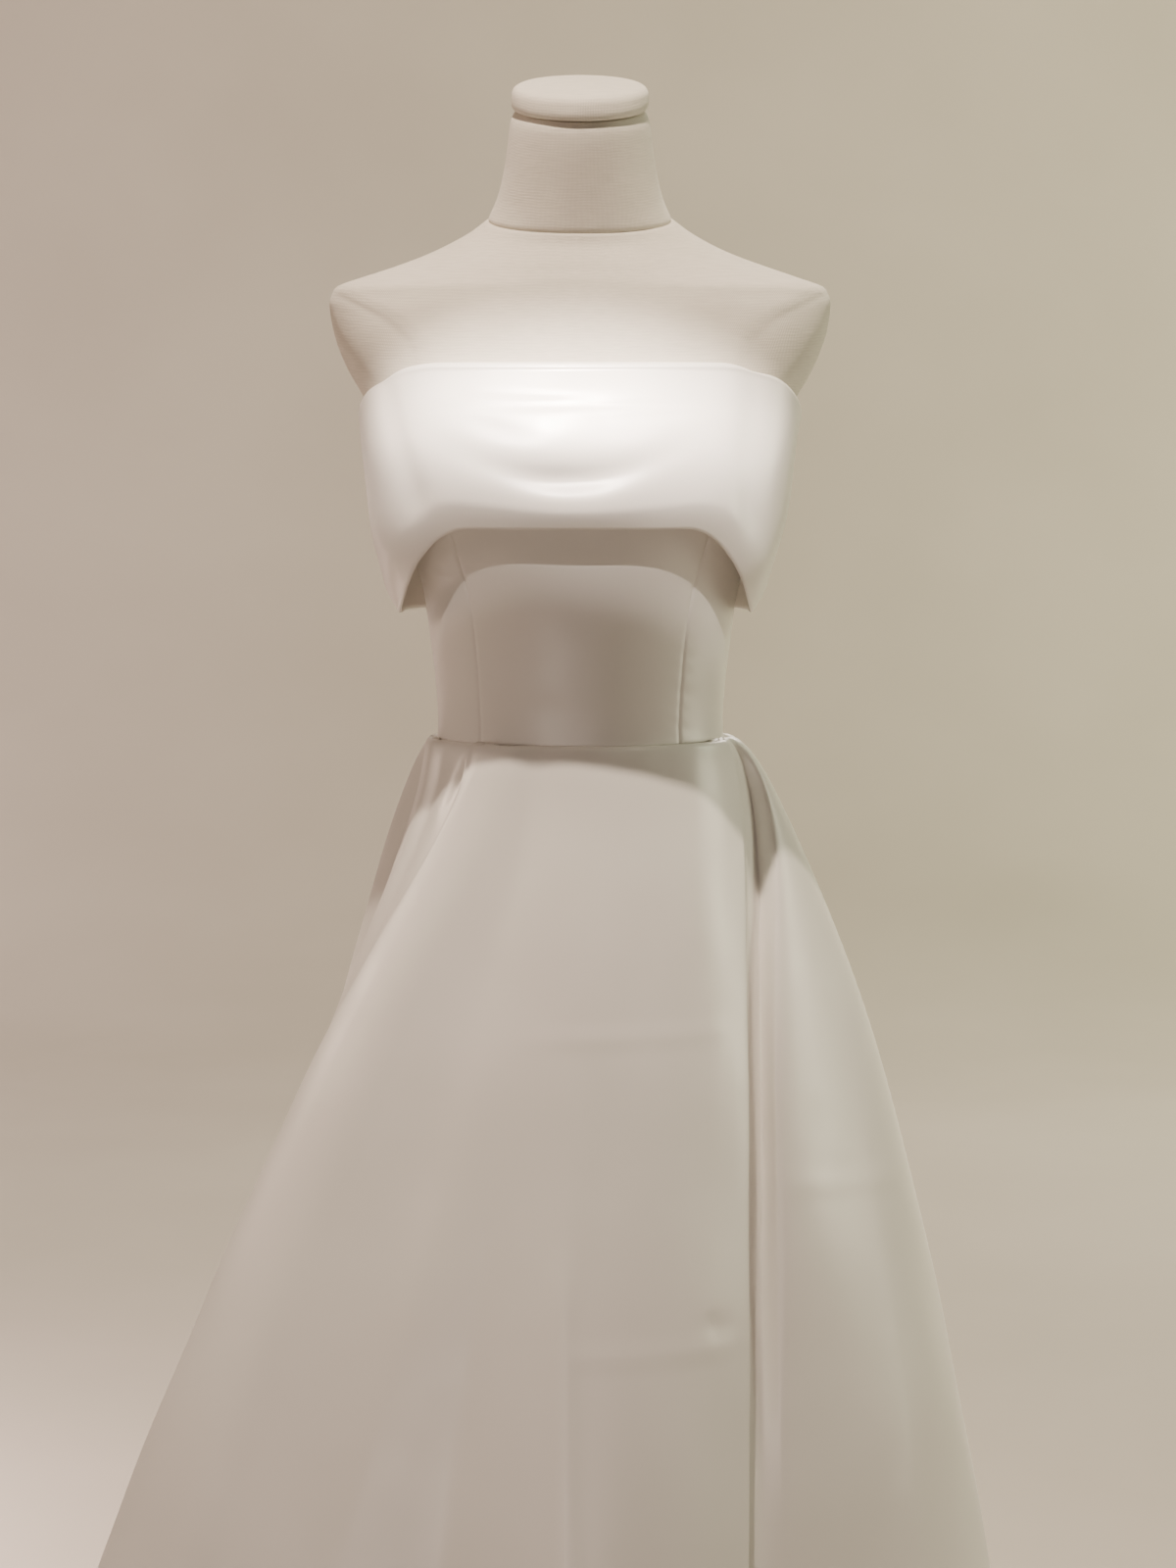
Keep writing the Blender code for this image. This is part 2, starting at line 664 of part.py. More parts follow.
# The neck and the cap that ends it: height over the waist, half width, half depths, centre, tilt
NECK_ROWS = (
    (0.3935, 0.0705, 0.0535, 0.0595, 0.008, 13.5),
    (0.4110, 0.0628, 0.0520, 0.0570, 0.005, 14.0),
    (0.4300, 0.0580, 0.0510, 0.0550, 0.002, 14.5),
    (0.4490, 0.0553, 0.0500, 0.0530, -0.001, 15.0),
    (0.4650, 0.0532, 0.0490, 0.0515, -0.003, 15.5),
    (0.4740, 0.0505, 0.0470, 0.0490, -0.004, 15.5),
)
CAP_ROWS = (
    (0.4743, 0.0440, 0.0430, 0.0440, -0.004, 15.5),
    (0.4755, 0.0490, 0.0480, 0.0490, -0.004, 15.5),
    (0.4785, 0.0515, 0.0505, 0.0515, -0.004, 15.5),
    (0.4850, 0.0518, 0.0508, 0.0518, -0.004, 15.5),
    (0.4905, 0.0505, 0.0495, 0.0505, -0.004, 15.5),
    (0.4935, 0.0460, 0.0450, 0.0460, -0.004, 15.5),
    (0.4945, 0.0380, 0.0372, 0.0380, -0.004, 15.5),
)


def tilted_ring(row):
    """A ring of the neck or the cap, tilted forwards."""
    height, side, front, back, centre, tilt = row
    ring = []
    for angle in FORM_ANGLES:
        x, y = oval_point(angle, side, front, back, centre, 2.0, 2.0)
        ring.append(Vector((x, y, WAIST_Z + height + (y - centre) * math.tan(math.radians(tilt)))))
    return ring


def primitive_object(name, collection, material, shape, centre, rotation=(0.0, 0.0, 0.0)):
    """An object from a bmesh primitive, placed by its location and rotation."""
    mesh = bpy.data.meshes.new(name)
    shape.to_mesh(mesh)
    shape.free()
    obj = bpy.data.objects.new(name, mesh)
    obj.location = centre
    obj.rotation_euler = rotation
    mesh.materials.append(material)
    collection.objects.link(obj)
    return obj


def box_object(name, collection, material, centre, size, offset=(0.0, 0.0, 0.0)):
    """A box by its whole size, with its middle at an offset from the object's origin."""
    shape = bmesh.new()
    bmesh.ops.create_cube(shape, size=1.0)
    bmesh.ops.scale(shape, vec=size, verts=shape.verts)
    bmesh.ops.translate(shape, vec=offset, verts=shape.verts)
    return primitive_object(name, collection, material, shape, centre)


def cylinder_object(name, collection, material, centre, radius, depth, segments, rotation=(0.0, 0.0, 0.0)):
    """A cylinder along its own Z, with capped ends and smooth sides."""
    shape = bmesh.new()
    bmesh.ops.create_cone(
        shape, cap_ends=True, segments=segments, radius1=radius, radius2=radius, depth=depth
    )
    obj = primitive_object(name, collection, material, shape, centre, rotation)
    obj.data.shade_smooth()
    obj.data.set_sharp_from_angle(angle=math.radians(35))
    return obj


ACROSS = (0.0, math.pi / 2, 0.0)


def combine(target, other, operation):
    change = target.modifiers.new(other.name, "BOOLEAN")
    change.operation = operation
    change.object = other
    change.solver = "EXACT"


def back_y(height, grow):
    """Where the centre back is, at a height over the waist, on a surface grow off the form."""
    if height >= 0:
        return form_point(180.0, height, grow).y
    section = Section(-height / SKIRT_LENGTH)
    return section.frame_at(section.length_at(0))[0].y + grow - BODICE_MID


# The zip's slider and its pull tab, all in metres
SLIDER = {"width": 6.0 * MM, "height": 11.0 * MM, "thick": 1.6 * MM, "below_top": 12.0 * MM}
EAR = {"thick": 1.0 * MM, "height": 3.4 * MM, "inside": 1.9 * MM}
PIN_RADIUS = 0.55 * MM
PIN_CLEAR = 0.30 * MM
BARREL_RADIUS = 1.55 * MM
TAB = {"width": 6.5 * MM, "length": 19.0 * MM, "thick": 1.3 * MM, "neck": 3.2 * MM, "shoulder": 2.6 * MM}


def make_zip(main, tools, tape, metal):
    """The strip of zip between the back edges, the slider at its top and the pull tab."""
    top = neckline(180.0) - 1.5 * MM
    outer, inner = [], []
    heights = spread(top, 0.0, 7) + [-t * SKIRT_LENGTH for t in SKIRT_LEVELS[1:5]] + [-ZIP_BELOW_WAIST]
    for height in heights:
        for grid, grow in ((outer, EASE + BODICE_CLOTH), (inner, EASE)):
            y = back_y(height, grow)
            grid.append([Vector((side * ZIP_WIDTH / 2, y, WAIST_Z + height)) for side in (1, -1)])
    wall("zip", main, tape, (outer, inner))

    z = top - SLIDER["below_top"]
    steep = (back_y(z + 0.01, 0.0) - back_y(z - 0.01, 0.0)) / 0.02
    face_y = back_y(z, EASE + BODICE_CLOTH) + 0.35 * MM + abs(steep) * SLIDER["height"] / 2
    plate_y = face_y + SLIDER["thick"] / 2
    slider = box_object(
        "zip_slider", main, metal, (0, plate_y, WAIST_Z + z), (SLIDER["width"], SLIDER["thick"], SLIDER["height"])
    )
    pin_y = face_y + SLIDER["thick"] + BARREL_RADIUS + 0.35 * MM
    pin_at = (0, pin_y, WAIST_Z + z + 1.5 * MM)
    ear_x = EAR["inside"] + EAR["thick"] / 2
    ear_depth = pin_y + 1.1 * MM - plate_y
    helpers = []
    for side, label in ((1, "left"), (-1, "right")):
        place = (side * ear_x, plate_y + ear_depth / 2, pin_at[2])
        helpers.append(box_object("ear_" + label, tools, metal, place, (EAR["thick"], ear_depth, EAR["height"])))
    helpers.append(cylinder_object("pin", tools, metal, pin_at, PIN_RADIUS, 2 * ear_x, 16, ACROSS))
    for helper in helpers:
        combine(slider, helper, "UNION")

    # The tab's origin is on the pin's axis, which it turns about
    tab_size = (TAB["width"], TAB["thick"], TAB["length"])
    tab = box_object("zip_pull", main, metal, pin_at, tab_size, (0, 0, -TAB["shoulder"] - TAB["length"] / 2))
    reach = TAB["shoulder"] + 0.5 * MM
    neck = box_object("tab_neck", tools, metal, pin_at, (TAB["neck"], TAB["thick"], reach), (0, 0, -reach / 2))
    barrel = cylinder_object("barrel", tools, metal, pin_at, BARREL_RADIUS, TAB["neck"], 16, ACROSS)
    bore = cylinder_object("bore", tools, metal, pin_at, PIN_RADIUS + PIN_CLEAR, 3 * TAB["neck"], 16, ACROSS)
    combine(tab, neck, "UNION")
    combine(tab, barrel, "UNION")
    combine(tab, bore, "DIFFERENCE")
    for helper in helpers + [neck, barrel, bore]:
        helper.display_type = "WIRE"
        helper.hide_render = True


def build():
    clear_scene()
    main = new_collection("gown_on_dress_form")
    tools = new_collection("cutters", hidden=True)
    satin = new_material("satin", (0.83, 0.80, 0.75), 0.0, 0.35)
    linen = new_material("linen", (0.72, 0.68, 0.60), 0.0, 0.85)
    tape = new_material("zip_tape", (0.80, 0.77, 0.72), 0.0, 0.60)
    enamel = new_material("enamelled_metal", (0.80, 0.78, 0.73), 0.2, 0.35)
    steel = new_material("brushed_steel", (0.55, 0.54, 0.52), 1.0, 0.35)
    coated = new_material("coated_metal", (0.62, 0.60, 0.56), 0.3, 0.45)

    heights = [row[0] for row in FORM_ROWS]
    heights += [(a + b) / 2 for a, b in zip(heights, heights[1:]) if 0.1 < (a + b) / 2 < 0.3]
    torso = [[form_point(angle, height) for angle in FORM_ANGLES] for height in sorted(heights)]
    turned_solid("form_torso", main, linen, torso)
    turned_solid("form_neck", main, linen, [tilted_ring(row) for row in NECK_ROWS])
    turned_solid("form_cap", main, linen, [tilted_ring(row) for row in CAP_ROWS])

    pole_low = BASE_THICK + SEAM
    pole_high = WAIST_Z + TORSO_BOTTOM - SEAM
    pole_centre = (0, 0, (pole_low + pole_high) / 2)
    cylinder_object("form_pole", main, steel, pole_centre, POLE_RADIUS, pole_high - pole_low, 24)
    base = cylinder_object("form_base", main, coated, (0, 0, BASE_THICK / 2), BASE_RADIUS, BASE_THICK, 40)
    edge = base.modifiers.new("rounded_edge", "BEVEL")
    edge.width = 2.5 * MM
    edge.segments = 2
    edge.limit_method = "ANGLE"

    for name, (first, last) in BODICE_PANELS.items():
        wall(name, main, satin, bodice_grids(first, last))
    wall("cuff_front", main, satin, cuff_grids(-SIDE_ANGLE, SIDE_ANGLE))
    wall("cuff_back_left", main, satin, cuff_grids(SIDE_ANGLE, 180.0))
    wall("cuff_back_right", main, satin, cuff_grids(-180.0, -SIDE_ANGLE))
    for name, grids in skirt_grids(skirt_panels(), SKIRT_LEVELS, SKIRT_CLOTH).items():
        wall(name, main, satin, grids)
    make_zip(main, tools, tape, enamel)


build()
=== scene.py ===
"""The looks of a strapless A-line gown on a limbless dress form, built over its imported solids.

Metres, +Z up, as in the frame. The cloth pieces follow the same sizes as the solids that they stand
for, on a finer grid, with rolled seams, soft troughs and creases, and a woven material.
"""
import itertools
import math
from bisect import bisect_right
from functools import lru_cache

import bmesh
import bpy
import numpy as np
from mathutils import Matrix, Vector


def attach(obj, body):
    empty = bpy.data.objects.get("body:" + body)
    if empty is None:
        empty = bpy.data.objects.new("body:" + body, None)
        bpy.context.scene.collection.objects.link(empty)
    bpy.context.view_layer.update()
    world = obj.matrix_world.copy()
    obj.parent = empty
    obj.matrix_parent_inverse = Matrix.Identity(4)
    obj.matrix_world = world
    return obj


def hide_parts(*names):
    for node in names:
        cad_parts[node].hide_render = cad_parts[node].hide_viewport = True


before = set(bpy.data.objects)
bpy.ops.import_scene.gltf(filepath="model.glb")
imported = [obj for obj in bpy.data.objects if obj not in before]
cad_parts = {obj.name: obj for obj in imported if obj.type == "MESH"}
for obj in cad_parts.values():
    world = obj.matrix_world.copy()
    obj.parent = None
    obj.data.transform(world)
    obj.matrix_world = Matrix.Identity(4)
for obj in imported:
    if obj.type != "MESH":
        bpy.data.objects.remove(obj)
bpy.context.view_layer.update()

BODY = "gown_and_form"

MM = 0.001

# Driving sizes of the gown
WAIST_Z = 1.060
HEM_Z = 0.015
SKIRT_CLOTH = 1.6 * MM
BODICE_CLOTH = 1.6 * MM
CUFF_CLOTH = 2.4 * MM
SEAM = 0.3 * MM
EASE = 0.6 * MM
SKIRT_LENGTH = WAIST_Z - HEM_Z

# The bodice's middle surface stands this far off the form
BODICE_MID = EASE + BODICE_CLOTH / 2

# The skirt's lowest layer starts at the waist this far off the form
SKIRT_CLEAR = 0.8 * MM
SKIRT_MID = EASE + SKIRT_CLOTH / 2 + SKIRT_CLEAR

# Seams of the bodice, as angles round the body
PRINCESS_ANGLE = 42.0
SIDE_ANGLE = 90.0
BACK_PRINCESS_ANGLE = 138.0

# The bodice's top edge: its height over the waist in front, and how far it drops from the first angle
# to the second, and from there to the third
NECKLINE_FRONT = 0.281
NECKLINE_SIDE_DROP = 0.035
NECKLINE_BACK_DROP = 0.020
NECKLINE_ANGLES = (30.0, 95.0, 180.0)

# The cuff's lower edge: its height over the waist in front, and how far it drops between two angles
CUFF_LOW_FRONT = 0.163
CUFF_LOW_DROP = 0.068
CUFF_LOW_ANGLES = (27.0, 90.0)

# The cuff's fold: its radius, where it starts off the form, its space over the top edge, and the gap
# at the centre back
CUFF_ROLL = 4.2 * MM
CUFF_START = 1.3 * MM
CUFF_ABOVE = 0.3 * MM
CUFF_BACK_GAP = 15.0 * MM

# The zip down the centre back
ZIP_WIDTH = 3.4 * MM
ZIP_BELOW_WAIST = 0.178

# The height of the form's lower end over the waist
TORSO_BOTTOM = -0.300

# The form, one row for each section. Height is over the waist, and side, front and back are half widths
# and depths, in metres. The rounds are powers, 2 for an ellipse, tilt is in degrees and lowers the
# front of a section, and cleft is the share of the depth that is hollowed at the centre front.
FORM_COLUMNS = ("height", "side", "front", "back", "centre", "round_front", "round_back", "tilt", "cleft")
FORM_ROWS = (
    (-0.300, 0.150, 0.098, 0.112, 0.000, 2.2, 2.3, 0.0, 0.00),
    (-0.250, 0.156, 0.102, 0.122, 0.000, 2.2, 2.3, 0.0, 0.00),
    (-0.200, 0.157, 0.104, 0.126, 0.000, 2.2, 2.3, 0.0, 0.00),
    (-0.100, 0.137, 0.096, 0.106, 0.000, 2.1, 2.2, 0.0, 0.00),
    (-0.050, 0.121, 0.089, 0.090, 0.000, 2.1, 2.1, 0.0, 0.00),
    (0.000, 0.1085, 0.083, 0.080, 0.000, 2.1, 2.1, 0.0, 0.00),
    (0.040, 0.1092, 0.085, 0.081, 0.000, 2.1, 2.1, 0.0, 0.00),
    (0.080, 0.1138, 0.090, 0.085, 0.000, 2.1, 2.1, 0.0, 0.00),
    (0.115, 0.1190, 0.099, 0.090, 0.000, 2.2, 2.1, 0.0, 0.01),
    (0.150, 0.1290, 0.115, 0.095, 0.000, 2.4, 2.1, 0.0, 0.04),
    (0.180, 0.1385, 0.127, 0.099, 0.001, 2.6, 2.2, 0.0, 0.07),
    (0.205, 0.1475, 0.132, 0.102, 0.002, 2.7, 2.2, 0.0, 0.08),
    (0.230, 0.1560, 0.129, 0.104, 0.004, 2.6, 2.2, 0.0, 0.05),
    (0.255, 0.1650, 0.120, 0.105, 0.006, 2.4, 2.2, 0.0, 0.02),
    (0.280, 0.1790, 0.110, 0.104, 0.008, 2.3, 2.2, 0.0, 0.00),
    (0.305, 0.1890, 0.099, 0.101, 0.009, 2.2, 2.1, 0.0, 0.00),
    (0.325, 0.1930, 0.090, 0.097, 0.010, 2.1, 2.0, 0.0, 0.00),
    (0.336, 0.1925, 0.085, 0.094, 0.010, 2.0, 2.0, 1.0, 0.00),
    (0.344, 0.1860, 0.081, 0.090, 0.010, 2.0, 1.9, 2.0, 0.00),
    (0.351, 0.1660, 0.078, 0.087, 0.010, 1.9, 1.9, 3.5, 0.00),
    (0.358, 0.1440, 0.074, 0.084, 0.010, 1.9, 1.9, 5.0, 0.00),
    (0.366, 0.1220, 0.070, 0.079, 0.010, 1.9, 1.9, 7.0, 0.00),
    (0.374, 0.1030, 0.064, 0.073, 0.009, 1.9, 1.9, 9.0, 0.00),
    (0.3835, 0.0845, 0.058, 0.066, 0.009, 2.0, 2.0, 11.5, 0.00),
    (0.393, 0.0710, 0.054, 0.060, 0.008, 2.0, 2.0, 13.5, 0.00),
)
FORM_VALUES = dict(zip(FORM_COLUMNS, zip(*FORM_ROWS)))


def smoothstep(value):
    """A soft step from 0 to 1, for a number or an array."""
    value = np.clip(value, 0.0, 1.0)
    return value * value * (3 - 2 * value)


def hermite(knots, values, at):
    """A smooth curve through values at knots."""
    i = max(k for k in range(len(knots) - 1) if knots[k] <= at or k == 0)
    span = knots[i + 1] - knots[i]
    u = (at - knots[i]) / span

    def slope(k):
        a, b = max(k - 1, 0), min(k + 1, len(knots) - 1)
        return (values[b] - values[a]) / (knots[b] - knots[a]) * span

    return (
        values[i] * (1 + 2 * u) * (1 - u) ** 2
        + slope(i) * u * (1 - u) ** 2
        + values[i + 1] * u * u * (3 - 2 * u)
        - slope(i + 1) * u * u * (1 - u)
    )


@lru_cache(maxsize=None)
def form_row(height):
    """The form's sizes at a height over the waist, as smooth curves through the table's rows."""
    heights = FORM_VALUES["height"]
    height = min(max(height, heights[0]), heights[-1])
    return {name: hermite(heights, values, height) for name, values in FORM_VALUES.items()}


# How far round from the centre front the cleft fades, in degrees
CLEFT_ANGLE = 22.0


def oval_point(angle, side, front, back, centre, round_front, round_back, cleft=0.0):
    """A point (x, y) of an oval section at an angle round the body."""
    a = math.radians(angle)
    s, c = math.sin(a), math.cos(a)
    power = 2 / (round_front if c > 0 else round_back)
    x = side * math.copysign(abs(s) ** power, s)
    depth = abs(c) ** power
    if c > 0:
        hollow = 1 - cleft * math.exp(-((angle / CLEFT_ANGLE) ** 2))
        return x, centre - front * depth * hollow
    return x, centre + back * depth


def form_point(angle, height, grow=0.0):
    """A point of the form's surface, or of a surface that stands off it by grow."""
    row = form_row(height)
    sizes = [row[name] + grow for name in ("side", "front", "back")]
    shape = [row[name] for name in ("centre", "round_front", "round_back", "cleft")]
    x, y = oval_point(angle, *sizes, *shape)
    lean = (y - row["centre"]) * math.tan(math.radians(row["tilt"]))
    return Vector((x, y, WAIST_Z + height + lean))


def neckline(angle):
    """Height over the waist of the bodice's top edge."""
    front, side, back = NECKLINE_ANGLES
    to_side = smoothstep((abs(angle) - front) / (side - front))
    to_back = smoothstep((abs(angle) - side) / (back - side))
    return NECKLINE_FRONT - NECKLINE_SIDE_DROP * to_side - NECKLINE_BACK_DROP * to_back


def cuff_low(angle):
    """Height over the waist of the cuff's lower edge."""
    start, end = CUFF_LOW_ANGLES
    return CUFF_LOW_FRONT - CUFF_LOW_DROP * smoothstep((abs(angle) - start) / (end - start))


# The skirt: where the lowest layer of cloth runs at four depths under the waist seam.
# Each row is a line down the skirt: its angle at the waist, then x and y in millimetres.
SKIRT_DEPTHS = (0.063, 0.262, 0.629, 1.048)
SKIRT_ROWS = (
    # name, angle, x1, y1, x2, y2, x3, y3, x4, y4
    ("centre_back", 180, 0, 113, 0, 190, 0, 315, 0, 430),
    ("back_l", 156, 52, 106, 72, 180, 115, 298, 158, 405),
    ("back_pleat_l", 133, 104, 82, 137, 140, 192, 225, 242, 312),
    ("quarter_l", 113, 143, 48, 200, 76, 268, 118, 328, 165),
    ("side_l", 97, 159, 14, 235, 14, 321, 18, 386, 28),
    ("side_front_l", 90, 157, -8, 208, -64, 260, -138, 298, -192),
    ("ridge_l", 84, 147, -24, 146, -122, 150, -204, 160, -266),
    ("recess_l", 80, 133, -18, 136, -100, 134, -210, 140, -274),
    ("strip_l", 76, 124, -41, 124, -118, 122, -215, 122, -280),
    ("front_pleat_l", 72, 117, -50, 117, -133, 112, -222, 106, -284),
    ("front_side_l", 50, 84, -90, 84, -159, 76, -258, 66, -318),
    ("front_mid_l", 26, 46, -107, 44, -179, 38, -281, 30, -347),
    ("centre_front", -3, -4, -112, -8, -187, -12, -289, -16, -354),
    ("valley", -12, -22, -110, -53, -180, -108, -259, -165, -312),
    ("fold", -20, -42, -105, -87, -172, -186, -258, -290, -322),
    ("front_side_r", -28, -62, -100, -145, -148, -268, -209, -388, -252),
    ("front_pleat_r", -42, -99, -84, -202, -114, -344, -147, -473, -179),
    ("side_valley_r", -57, -115, -64, -202, -78, -340, -104, -466, -124),
    ("side_front_r", -72, -122, -44, -198, -48, -332, -62, -455, -75),
    ("side_pleat_r", -86, -125, -22, -192, -18, -312, -20, -426, -22),
    ("side_r", -101, -144, 14, -203, 34, -306, 58, -404, 82),
    ("quarter_r", -116, -138, 52, -188, 92, -263, 148, -338, 200),
    ("back_pleat_r", -134, -104, 84, -138, 146, -190, 236, -240, 322),
    ("back_r", -157, -52, 107, -73, 183, -117, 302, -162, 410),
)
ROW_AT = {row[0]: i for i, row in enumerate(SKIRT_ROWS)}

# Knife pleats: the row that each fold lies on, the way it points along the rows, at the hem the space
# between layers and the width folded under, and how far the top layer takes to come down.
PLEATS = {
    "back_l": ("back_pleat_l", 1, 0.016, 0.060, 2.4),
    "front_l": ("front_pleat_l", -1, 0.0085, 0.046, 4.0),
    "front_r": ("front_pleat_r", 1, 0.018, 0.070, 3.2),
    "side_r": ("side_pleat_r", 1, 0.015, 0.050, 1.9),
    "back_r": ("back_pleat_r", -1, 0.016, 0.060, 2.4),
}

# The space between layers and the width folded under at the waist
PLEAT_SPACE = 2.6 * MM
PLEAT_UNDER = 15.0 * MM

# A pleat's layers, as heights in spaces
LOW, MIDDLE, HIGH = 0.0, 1.0, 2.0

# Shares of a pleat's width under: the seam inside, where its upper layer starts, and where the open
# face beside it ends
INNER_SEAM = 0.5
UPPER_START = 0.6
FACE_END = 1.1

# The opening closes below the zip: how far below it this starts, and over what height
CLOSING_START = 0.005
CLOSING_HEIGHT = 0.020

# Points of the curve from one row to the next, and how many to each side give its direction
FINE = 32
NEARBY = 3

# Columns for each piece of an open face, and rows down with the power that brings them closer at the top
FACE_PIECES = 5
SKIRT_ROWS_DOWN = 170
SKIRT_ROW_POWER = 1.25

# Edges of the skirt's panels that show a plain seam
SKIRT_SEAMS = {
    "skirt_back_left": ("right",),
    "skirt_back_right": ("left",),
    "skirt_side_left": ("right",),
    "skirt_side_back_left": ("left",),
}


def skirt_row_point(row, t):
    """Where a row's line is at a share t of the skirt's length."""
    start = form_point(row[1], 0.0, SKIRT_MID)
    knots = [0.0] + [math.sqrt(depth / SKIRT_LENGTH) for depth in SKIRT_DEPTHS]
    xs = [start.x] + [value * MM for value in row[2::2]]
    ys = [start.y] + [value * MM for value in row[3::2]]
    at = math.sqrt(t)
    return Vector((hermite(knots, xs, at), hermite(knots, ys, at)))


def curve_point(before, start, end, after, u):
    """A point of the smooth curve from start to end, without loops where the rows are close."""
    points = [before, start, end, after]
    knots = [0.0]
    for a, b in zip(points, points[1:]):
        knots.append(knots[-1] + math.sqrt(max((b - a).length, 1e-6)))
    at = knots[1] + (knots[2] - knots[1]) * u
    while len(points) > 1:
        step = 4 - len(points) + 1
        points = [
            a + (b - a) * ((at - knots[i]) / (knots[i + step] - knots[i]))
            for i, (a, b) in enumerate(zip(points, points[1:]))
        ]
    return points[0]


class Section:
    """The skirt's lowest layer at one depth: a closed curve measured along its length."""

    def __init__(self, t):
        self.t = t
        rows = [skirt_row_point(row, t) for row in SKIRT_ROWS]
        count = len(rows)
        self.points = []
        for i in range(-2, count + 2):
            for k in range(FINE):
                corners = [rows[(i + j) % count] for j in (-1, 0, 1, 2)]
                self.points.append(curve_point(*corners, k / FINE))
        self.lengths = [0.0]
        for a, b in zip(self.points, self.points[1:]):
            self.lengths.append(self.lengths[-1] + (b - a).length)
        self.pleats = {name: self.measure(*sizes) for name, sizes in PLEATS.items()}

    def measure(self, row, points, space, under, rise):
        """A pleat's sizes at this depth: its length along the curve, direction, space and width."""
        return (
            self.length_at(ROW_AT[row]),
            points,
            PLEAT_SPACE + (space - PLEAT_SPACE) * self.t,
            PLEAT_UNDER + (under - PLEAT_UNDER) * self.t,
            rise,
        )

    def length_at(self, row):
        """The length along the curve at a row, where 1.5 is half way from row 1 to row 2."""
        at = (row + 2) * FINE
        i = min(int(at), len(self.lengths) - 2)
        return self.lengths[i] + (self.lengths[i + 1] - self.lengths[i]) * (at - i)

    def frame_at(self, length):
        """The point, the direction along the curve and the outward direction at a length."""
        i = min(max(bisect_right(self.lengths, length) - 1, 0), len(self.lengths) - 2)
        share = (length - self.lengths[i]) / (self.lengths[i + 1] - self.lengths[i])
        point = self.points[i].lerp(self.points[i + 1], share)
        low, high = max(i - NEARBY, 0), min(i + NEARBY + 1, len(self.points) - 1)
        along = (self.points[high] - self.points[low]).lerp(
            self.points[min(high + 1, len(self.points) - 1)] - self.points[low + 1], share
        ).normalized()
        return point, along, Vector((-along.y, along.x))

    def raised(self, length, pleats):
        """How far an upper layer stands off the lowest one, near the pleats at its ends."""
        rise = 0.0
        for name in pleats:
            fold, points, space, under, reach = self.pleats[name]
            away = (fold - length) * points
            near = under + 1.5 * space
            rise = max(rise, 2 * space * smoothstep((reach * near - away) / ((reach - 1) * near)))
        return rise


def anchor_length(section, anchor):
    """The length along the curve at a row's name, or at (pleat, share of its width under)."""
    if anchor == "centre_back_end":
        return section.length_at(len(SKIRT_ROWS))
    if anchor in ROW_AT:
        return section.length_at(ROW_AT[anchor])
    fold, points, _, under, _ = section.pleats[anchor[0]]
    return fold - points * anchor[1] * under


def face_column(start, end, share, upper_of=(), shift=None):
    """A column on a panel's open face, part of the way from one anchor to the next."""

    def at(section):
        low, high = anchor_length(section, start), anchor_length(section, end)
        length = low + (high - low) * share + (shift(section) if shift else 0.0)
        point, _, out = section.frame_at(length)
        return point + out * section.raised(length, upper_of)

    return at


def pleat_column(name, share, height, bend=0.0, shift=0.0):
    """A column inside a pleat: its share of the width under, its height in spaces, its bend."""

    def at(section):
        fold, points, space, under, _ = section.pleats[name]
        point, along, out = section.frame_at(fold - points * (share * under - shift))
        return point + out * (height * space) + along * (points * bend * space / 2)

    return at


def turn(name, share, middle, way, steps=10):
    """The columns of a pleat's rounded fold, from its upper layer to its lower one."""
    columns = []
    for i in range(steps + 1):
        angle = math.pi * i / steps
        columns.append(pleat_column(name, share, middle + math.cos(angle) / 2, way * math.sin(angle)))
    return columns


def run(name, first, last, height, pieces):
    """Flat columns inside a pleat, from one share of its width to the next, without the ends."""
    return [pleat_column(name, first + (last - first) * i / pieces, height) for i in range(1, pieces)]


def upper_fold(name):
    """The visible fold of a pleat and half of its return, up to the seam inside."""
    columns = [pleat_column(name, UPPER_START, HIGH)] + run(name, UPPER_START, 0.0, HIGH, 5)
    columns += turn(name, 0.0, (MIDDLE + HIGH) / 2, 1) + run(name, 0.0, INNER_SEAM, MIDDLE, 3)
    return columns + [pleat_column(name, INNER_SEAM, MIDDLE, shift=SEAM / 2)]


def lower_fold(name):
    """The rest of a pleat's return, the fold inside, and the layer that lies lowest."""
    columns = [pleat_column(name, INNER_SEAM, MIDDLE, shift=-SEAM / 2)]
    columns += run(name, INNER_SEAM, 1.0, MIDDLE, 3) + turn(name, 1.0, (LOW + MIDDLE) / 2, -1, 8)
    columns += run(name, 1.0, INNER_SEAM, LOW, 3) + [pleat_column(name, INNER_SEAM, LOW)]
    return columns + run(name, INNER_SEAM, 0.0, LOW, 3)


def face(anchors, upper_of=()):
    """Columns over an open face through its anchors, each given with the pieces to the next."""
    columns = []
    for (start, pieces), (end, _) in zip(anchors, anchors[1:]):
        for k in range(pieces * FACE_PIECES):
            columns.append(face_column(start, end, k / (pieces * FACE_PIECES), upper_of))
    columns.append(face_column(anchors[-2][0], anchors[-1][0], 1.0, upper_of))
    return columns


def back_opening(side):
    """A shift that keeps the centre back edges clear of the zip, and closes under it."""

    def shift(section):
        below_zip = section.t * SKIRT_LENGTH - ZIP_BELOW_WAIST
        below = smoothstep((below_zip - CLOSING_START) / CLOSING_HEIGHT)
        return side * (ZIP_WIDTH / 2 + SEAM + (SEAM / 2 - ZIP_WIDTH / 2 - SEAM) * below)

    return shift


def seam_shift(side):
    return lambda section: side * SEAM / 2


